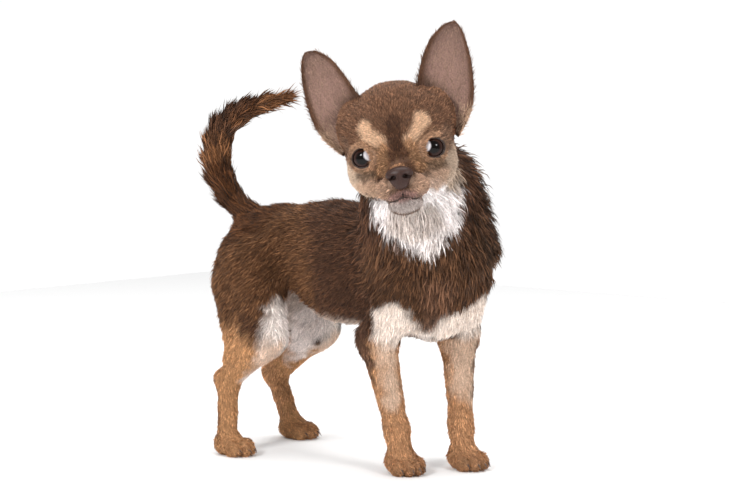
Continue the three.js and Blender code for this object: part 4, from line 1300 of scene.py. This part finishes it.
@dataclass
class Coat:
    """The coat: many short tufts rooted on the skin, longer on the neck, the front of the chest and the
    tail.
    """

    per_mm2: float = 2.3
    body_length: float = 6.4
    face_length: float = 3.0
    leg_length: float = 3.6
    ruff_length: float = 13.0
    tail_length: float = 17.0
    guard_share: float = 0.12
    most: int = 62000

    def build(self, points: Points, quads: np.ndarray, markings: Markings,
              material: bpy.types.Material) -> None:
        """Roots the tufts and makes the pieces of the coat.

        Args:
            points, quads: the skin.
            markings: gives each tuft its colour.
            material: the hair's finish.
        """
        rng = np.random.default_rng(SEED)
        surface = Surface.of(points, quads)
        surface.normals = unit(gradient(FLESH, points, 0.8))
        density = self.density(points) * ~self.bare(points)
        at, share = surface.scatter(density, rng)
        roots = surface.mix(points, at, share)
        normals = unit(surface.mix(surface.normals, at, share))
        ways = surface.mix(Flow().at(points), at, share)
        length, width, rise, long_hair = (surface.mix(v, at, share) for v in self.sizes(points))
        vary = rng.uniform(0.7, 1.25, len(roots))
        clump = noise(roots, 6, 8)
        length, rise = length * vary, rise * rng.uniform(0.6, 1.3, len(roots)) * (1 + 0.3 * clump)
        region = regions(points)[surface.tris[at, 0]]
        tone = 1 + 0.2 * rng.normal(size=len(roots)) + 0.15 * noise(roots, 2.2, 9) + 0.12 * clump
        tone = tone.clip(0.5, 1.9)
        guard = rng.uniform(size=len(roots)) < self.guard_share
        guard_tone = np.where(rng.uniform(size=len(roots)) < 0.6, 1.6, 0.55)
        tone = (tone * np.where(guard, guard_tone, 1.0))[:, None]
        width = width * (1 + 0.8 * guard)
        rise = rise * (1 + 0.45 * guard)
        length = length * (1 + 0.12 * guard)
        colour = markings.at(roots)
        colour *= 1 + (tone - 1) * (1 - 0.7 * smooth(colour.mean(1), 0.08, 0.5))[:, None]
        uv = unwrap(roots, normals, region)
        for r in Region:
            for rows in (2, 3):
                mine = np.nonzero((region == r.value) & ((long_hair > 0.5) == (rows == 3)))[0]
                pieces = math.ceil(len(mine) * (2 * rows - 1) / (3 * self.most))
                for part, chosen in enumerate(np.array_split(rng.permutation(mine), max(1, pieces))):
                    if len(chosen) < 200:
                        continue
                    pts, faces = blades(*(v[chosen] for v in (roots, normals, ways, length, width, rise)),
                                        rng, rows=rows)
                    name = f"coat_{r.name.lower()}_{'long' if rows == 3 else 'short'}_{part + 1}"
                    dress_tufts(name, pts, faces, colour[chosen], uv[chosen], rows, material)

    def density(self, points: Points) -> np.ndarray:
        """Tufts for each square millimetre: more on the face and legs, where they are short."""
        out = np.full(len(points), self.per_mm2)
        face = smooth(HEAD.into(points)[:, 0], -50, -20) * smooth(-BODY.head()(points), -6, 0)
        legs = smooth(-points[:, 2], -110, -90)
        return out * (1 + 0.8 * face + 0.45 * legs)

    def bare(self, points: Points) -> np.ndarray:
        """Where no hair grows: eyeball sockets, the seat of the nose, lips and soles."""
        q = HEAD.into(points)
        out = points[:, 2] < 0.8
        for s in SIDES:
            out |= np.linalg.norm(q - BODY.eye(s), axis=1) < EYE_RADIUS + 0.5
        out |= (np.abs(q[:, 1]) < 9) & (q[:, 0] > 15) & (np.abs(q[:, 2] + 16) < 7)
        mouth = HEAD.point_out(curve_through(MOUTH_LINE, 25))
        return out | (line_distance(points, mouth) < 0.9)

    def sizes(self, points: Points) -> tuple[np.ndarray, np.ndarray, np.ndarray, np.ndarray]:
        """The length, width and rise of the tufts at each place, and how far they are of the long kind."""
        length = np.full(len(points), self.body_length)
        neck = smooth(-BODY.neck()(points), -8, 0)
        length += (self.ruff_length - length) * neck
        legs = smooth(-points[:, 2], -114, -80)
        length += (self.leg_length - length) * legs
        length += (2.8 - length) * smooth(-points[:, 2], -22, -10)
        head = smooth(-BODY.head()(points), -6, 0)
        front = smooth(HEAD.into(points)[:, 0], -50, -8)
        length += (6.5 + (self.face_length - 6.5) * front - length) * head
        tail = smooth(-BODY.tail_form()(points), -3, 1) * smooth(points[:, 2], 188, 200)
        length += (self.tail_length - length) * tail
        width = 0.3 + 0.028 * length
        rise = DEPTH.at(points) * 1.0
        rise += (2.7 - rise) * tail
        ruffled = np.exp(-(np.linalg.norm(points - np.array([86, 30, 222]), axis=1) / 24) ** 2)
        rise, length = rise + 5.0 * ruffled, length + 3.0 * ruffled
        return length, width, rise, np.maximum(neck * (1 - head), tail)


class Skin:
    """The one skin over all the flesh."""

    def build(self, markings: Markings,
              material: bpy.types.Material) -> tuple[bpy.types.Object, np.ndarray, np.ndarray]:
        """Skins the flesh finely at the head and more coarsely elsewhere.

        Args:
            markings: gives its colours.
            material: its finish.

        Returns:
            The piece, its points and its quads.
        """
        fine, wide = ((1.1, 2.4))
        xs = steps((-155, wide), (24, fine), (122, wide), (135, 0))
        ys = steps((-90, fine), (12, wide), (72, 0))
        zs = steps((-3, wide), (196, fine), (302, 0))
        form = skin_form()
        points, quads = net(form, xs, ys, zs, 14.0)
        points = settle(form, points, 0.6)
        points[:, 2] = np.maximum(points[:, 2], 0.0)
        normals = Surface.of(points, quads).normals
        region = regions(points)
        face_uv = self.corner_uv(points, normals, region, quads)
        piece = put("skin", points, quads, material, markings.at(points), face_uv)
        return piece, points, quads

    def corner_uv(self, points: Points, normals: np.ndarray, region: np.ndarray,
                  quads: np.ndarray) -> np.ndarray:
        """The unwrap of each face's corners, with all the corners of a face on one island."""
        middle_way = unit(normals[quads].mean(1))
        middle_region = region[quads[:, 0]]
        corners = quads.ravel()
        return unwrap(points[corners], np.repeat(middle_way, 4, 0), np.repeat(middle_region, 4))


@dataclass(frozen=True)
class Eyes:
    """The eyeballs, with an iris and a pupil that look a little outward, and the dark rims of the lids."""

    rings: int = 49
    around: int = 64

    def build(self, s: int, material: bpy.types.Material, rim: bpy.types.Material) -> None:
        """Makes one eyeball and its rim.

        Args:
            s: 1 for the left eye, -1 for the right.
            material: the wet finish.
            rim: the finish of the lid's edge.
        """
        look = Frame(0, 0, 0, heading=s * 9, pitch=1)
        theta, phi = np.meshgrid(np.linspace(0, math.pi, self.rings),
                                 np.linspace(0, 2 * math.pi, self.around, endpoint=False), indexing="ij")
        bulge = 1 + 0.035 * np.exp(-(theta / 0.62) ** 2)
        ball = EYE_RADIUS * bulge[..., None] * np.stack(
            [np.cos(theta), np.sin(theta) * np.cos(phi), np.sin(theta) * np.sin(phi)], -1)
        local = look.point_out(ball.reshape(-1, 3)) + BODY.eye(s)
        quads = ring_quads(self.rings, self.around)[:, (0, 3, 2, 1)]
        t = theta.ravel()
        colour = np.tile(linear("0b0706"), (len(t), 1))
        for shade, start, end in (("2a150e", 0.42, 0.56), ("140c0a", 0.74, 0.84), ("6b4f46", 0.95, 1.1)):
            colour = toward(colour, shade, smooth(t, start, end))
        # The pale patch at the inner corner is partly the white of the eye and partly a painted reflection.
        corner = smooth((ball.reshape(-1, 3) @ (0.75, -0.63 * s, 0.2)) / EYE_RADIUS, 0.87, 0.93)
        colour = toward(colour, "dcd6da", 0.95 * corner)
        name = side_name(s)
        piece = put(f"eyeball_{name}", HEAD.point_out(local), quads, material, colour)
        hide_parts(f"eye_{name}")
        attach(piece, "root")
        self.rim(s, rim)

    def rim(self, s: int, material: bpy.types.Material) -> None:
        """The bare edge of the lids: a thin bead round the oval where the passage meets the ball."""
        oval = eye_frame(s)
        phi, psi = np.meshgrid(np.linspace(0, 2 * math.pi, 72, endpoint=False),
                               np.linspace(0, 2 * math.pi, 10, endpoint=False), indexing="ij")
        y, z = 8.0 * np.cos(phi), 7.2 * np.sin(phi)
        r = EYE_RADIUS + 0.55
        x = np.sqrt(np.maximum(r * r - y * y - z * z, 0))
        centre = np.stack([x, y, z], -1)
        outward = unit(centre)
        along = unit(np.roll(centre, -1, 0) - np.roll(centre, 1, 0))
        across = np.cross(along, outward)
        thick = 0.75 + 0.15 * np.abs(np.cos(phi))[..., None]
        ring = centre + thick * (outward * np.cos(psi)[..., None] * 0.7 + across * np.sin(psi)[..., None])
        quads = ring_quads(72, 10, closed=True)[:, (0, 3, 2, 1)]
        piece = put(f"lid_rim_{side_name(s)}", oval.point_out(ring.reshape(-1, 3)), quads, material)
        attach(piece, "root")


class Nose:
    """The nose leather: a rounded pad with two comma-shaped nostrils and a groove down the middle."""

    def form(self) -> Form:
        """The pad with its hollows."""
        pad = blend(3, egg(HEAD, (18, 0, -15), (5.8, 10, 5.8)), egg(HEAD, (18.5, 0, -20), (5.2, 6.5, 6)))
        for s in SIDES:
            pad = hollowed(1.0, pad, egg(HEAD, (23.2, s * 4.4, -16.6), (3.2, 2.0, 1.5), 0, s * 20))
            pad = hollowed(1.0, pad, egg(HEAD, (21.0, s * 7.6, -17.6), (3.0, 2.6, 0.8), 0, s * 30))
        return hollowed(0.8, pad, bar(HEAD.out(24.4, 0, -15), HEAD.out(23.6, 0, -26), 0.5, 0.6))

    def build(self, material: bpy.types.Material) -> None:
        """Skins the pad finely."""
        form = self.form()
        lo, hi = HEAD.origin + np.array([-8, -42, -32]), HEAD.origin + np.array([36, 2, 2])
        points, quads = net(form, *(steps((a, 0.55), (b, 0)) for a, b in zip(lo, hi)), 3.0)
        points = settle(form, points, 0.3)
        # Painted shade: the leather is darkened in and around each nostril, carried in coat_colour.
        nostril_shade = np.zeros(len(points))
        for s in SIDES:
            away = (HEAD.into(points) - (22.0, s * 4.8, -16.8)) / (3.4, 2.6, 1.9)
            nostril_shade += np.exp(-(np.linalg.norm(away, axis=1) ** 2))
        shade = np.repeat((1 - 0.85 * nostril_shade)[:, None].clip(0.08, 1), 3, 1)
        piece = put("nose_leather", points, quads, material, shade)
        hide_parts("nose")
        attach(piece, "root")


class Lips:
    """The bare edge of the lips from corner to corner, and the groove from the nose down to it."""

    def build(self, material: bpy.types.Material) -> None:
        """Lays a thin dark bead along the mouth, and another from it up to the nose."""
        around = 8
        beads = (("lip_line", MOUTH_LINE, 0.75, 61), ("lip_groove", MOUTH_GROOVE, 0.5, 15))
        for name, places, thick, count in beads:
            line = settle(FLESH, HEAD.point_out(curve_through(places, count)), 2.0, 4)
            out = unit(gradient(FLESH, line, 0.5))
            line = line - out * (DEPTH.face + 0.15)
            along = unit(np.gradient(line, axis=0))
            across = unit(np.cross(along, out))
            turn = np.linspace(0, 2 * math.pi, around, endpoint=False)[None, :, None]
            taper = np.ones(count)
            if places is MOUTH_LINE:
                taper = np.sin(np.linspace(0.12, math.pi - 0.12, count)) ** 0.35
            section = across[:, None] * np.cos(turn) + 0.8 * out[:, None] * np.sin(turn)
            ring = line[:, None] + (thick * taper)[:, None, None] * section
            ends = np.array([np.arange(around)[::-1], np.arange(around) + (count - 1) * around])
            piece = put(name, ring.reshape(-1, 3), [ring_quads(count, around), ends], material)
            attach(piece, "root")


LAMPS = (
    ("key", (0.1, -1.75, 1.25), 0.45, 26.0),
    ("fill", (1.95, -0.35, 1.0), 0.45, 16.0),
    ("top", (0.0, 0.1, 1.9), 1.4, 22.0),
)  # each lamp's name, place and width in metres, and watts


@dataclass(frozen=True)
class Studio:
    """A plain pale floor, soft light, and the camera as the photo was taken."""

    focal_px: float = 1980.0
    frame_px: float = 729.0
    film_mm: float = 36.0
    eye_height: float = 290.0
    azimuth: float = 40.0
    pitch: float = 4.315
    offset: tuple = (-10.0, 1555.0)  # how far the body is to the right of the camera and ahead of it
    backdrop: float = 1.02
    room: float = 0.35
    floor_half: float = 1.25

    def build(self) -> None:
        """Sets up the floor, the world, the lamps and the camera."""
        bpy.context.scene.view_settings.view_transform = "Standard"
        self.floor()
        self.lamps()
        self.camera()

    def floor(self) -> None:
        """A wide pale sheet just under the paws."""
        half = self.floor_half
        mesh = bpy.data.meshes.new("floor")
        corners = [(-half, -half, 0), (half, -half, 0), (half, half, 0), (-half, half, 0)]
        mesh.from_pydata(corners, [], [(0, 1, 2, 3)])
        material, _, shader = fresh("matt_paper_sweep")
        shader.inputs["Base Color"].default_value = (0.93, 0.93, 0.93, 1)
        shader.inputs["Roughness"].default_value = 0.9
        mesh.materials.append(material)
        piece = bpy.data.objects.new("floor", mesh)
        bpy.context.scene.collection.objects.link(piece)

    def lamps(self) -> None:
        """A white backdrop in a dimmer room, and soft lamps left and right of the camera and above."""
        world = bpy.context.scene.world or bpy.data.worlds.new("studio")
        bpy.context.scene.world = world
        world.use_nodes = True
        tree = world.node_tree
        background = tree.nodes.get("Background") or tree.nodes.new("ShaderNodeBackground")
        turn = math.radians(self.azimuth)
        sky = add_node(tree, "ShaderNodeTexCoord")
        behind = add_node(tree, "ShaderNodeVectorMath", {0: sky.outputs["Generated"]},
                          operation="DOT_PRODUCT")
        behind.inputs[1].default_value = (-math.sin(turn), math.cos(turn), 0)
        light = add_node(tree, "ShaderNodeMapRange", {"Value": behind.outputs["Value"]},
                         From_Min=-0.5, From_Max=0.7, To_Min=self.room, To_Max=self.backdrop)
        tree.links.new(light.outputs["Result"], background.inputs["Strength"])
        background.inputs["Color"].default_value = (1, 1, 1, 1)
        for name, place, size, power in LAMPS:
            lamp = bpy.data.lights.new(name, "AREA")
            lamp.energy = power
            lamp.size = size
            thing = bpy.data.objects.new(name, lamp)
            thing.location = place
            aim = np.array([0.02, 0.0, 0.17]) - np.array(place)
            tilt = math.acos(-aim[2] / np.linalg.norm(aim))
            thing.rotation_euler = (tilt, 0, math.atan2(aim[1], aim[0]) - math.pi / 2)
            bpy.context.scene.collection.objects.link(thing)

    def camera(self) -> None:
        """The camera, its lens worked out from the focal length in pixels."""
        turn = math.radians(self.azimuth)
        across, away = -self.offset[0], -self.offset[1]
        place = np.array([across * math.cos(turn) - away * math.sin(turn),
                          across * math.sin(turn) + away * math.cos(turn), self.eye_height]) - FOOTPRINT
        data = bpy.data.cameras.new("camera")
        data.lens = self.focal_px * self.film_mm / self.frame_px
        data.sensor_width = self.film_mm
        data.clip_start = 0.05
        camera = bpy.data.objects.new("camera", data)
        camera.location = place * MM
        camera.rotation_euler = (math.radians(90 - self.pitch), 0, turn)
        bpy.context.scene.collection.objects.link(camera)
        bpy.context.scene.camera = camera


FLESH_NODES = (
    "head", "neck", "torso", "tail_base", "tail_middle", "tail_tip",
    "foreleg_left", "foreleg_right", "forepaw_left", "forepaw_right", "thigh_left", "thigh_right",
    "shank_left", "shank_right", "hind_paw_left", "hind_paw_right",
)


def main() -> None:
    """Builds the animal piece by piece and then the studio."""
    for thing in [o for o in bpy.data.objects if o.name in ("Cube", "Light", "Camera")]:
        bpy.data.objects.remove(thing)
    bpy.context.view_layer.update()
    colours = Markings()
    hair, skin_finish = HairFinish().make(), SkinFinish().make()
    leather, horn = LeatherFinish(shaded=True).make(), HornFinish().make()
    skin, points, quads = Skin().build(colours, skin_finish)
    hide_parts(*FLESH_NODES)
    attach(skin, "root")
    Coat().build(points, quads, colours, hair)
    ears = Ears()
    wet = EyeFinish().make()
    rim = LeatherFinish("lid_edge", "241813", "3a2922", 0.5, 0.35).make()
    for s in SIDES:
        ears.build(s, skin_finish, hair)
        Eyes().build(s, wet, rim)
    Nose().build(leather)
    Lips().build(rim)
    for name, node in frame["nodes"].items():
        if name.startswith("claw"):
            node.data.materials.clear()
            node.data.materials.append(horn)
    Studio().build()


if __name__ == "__main__":
    main()
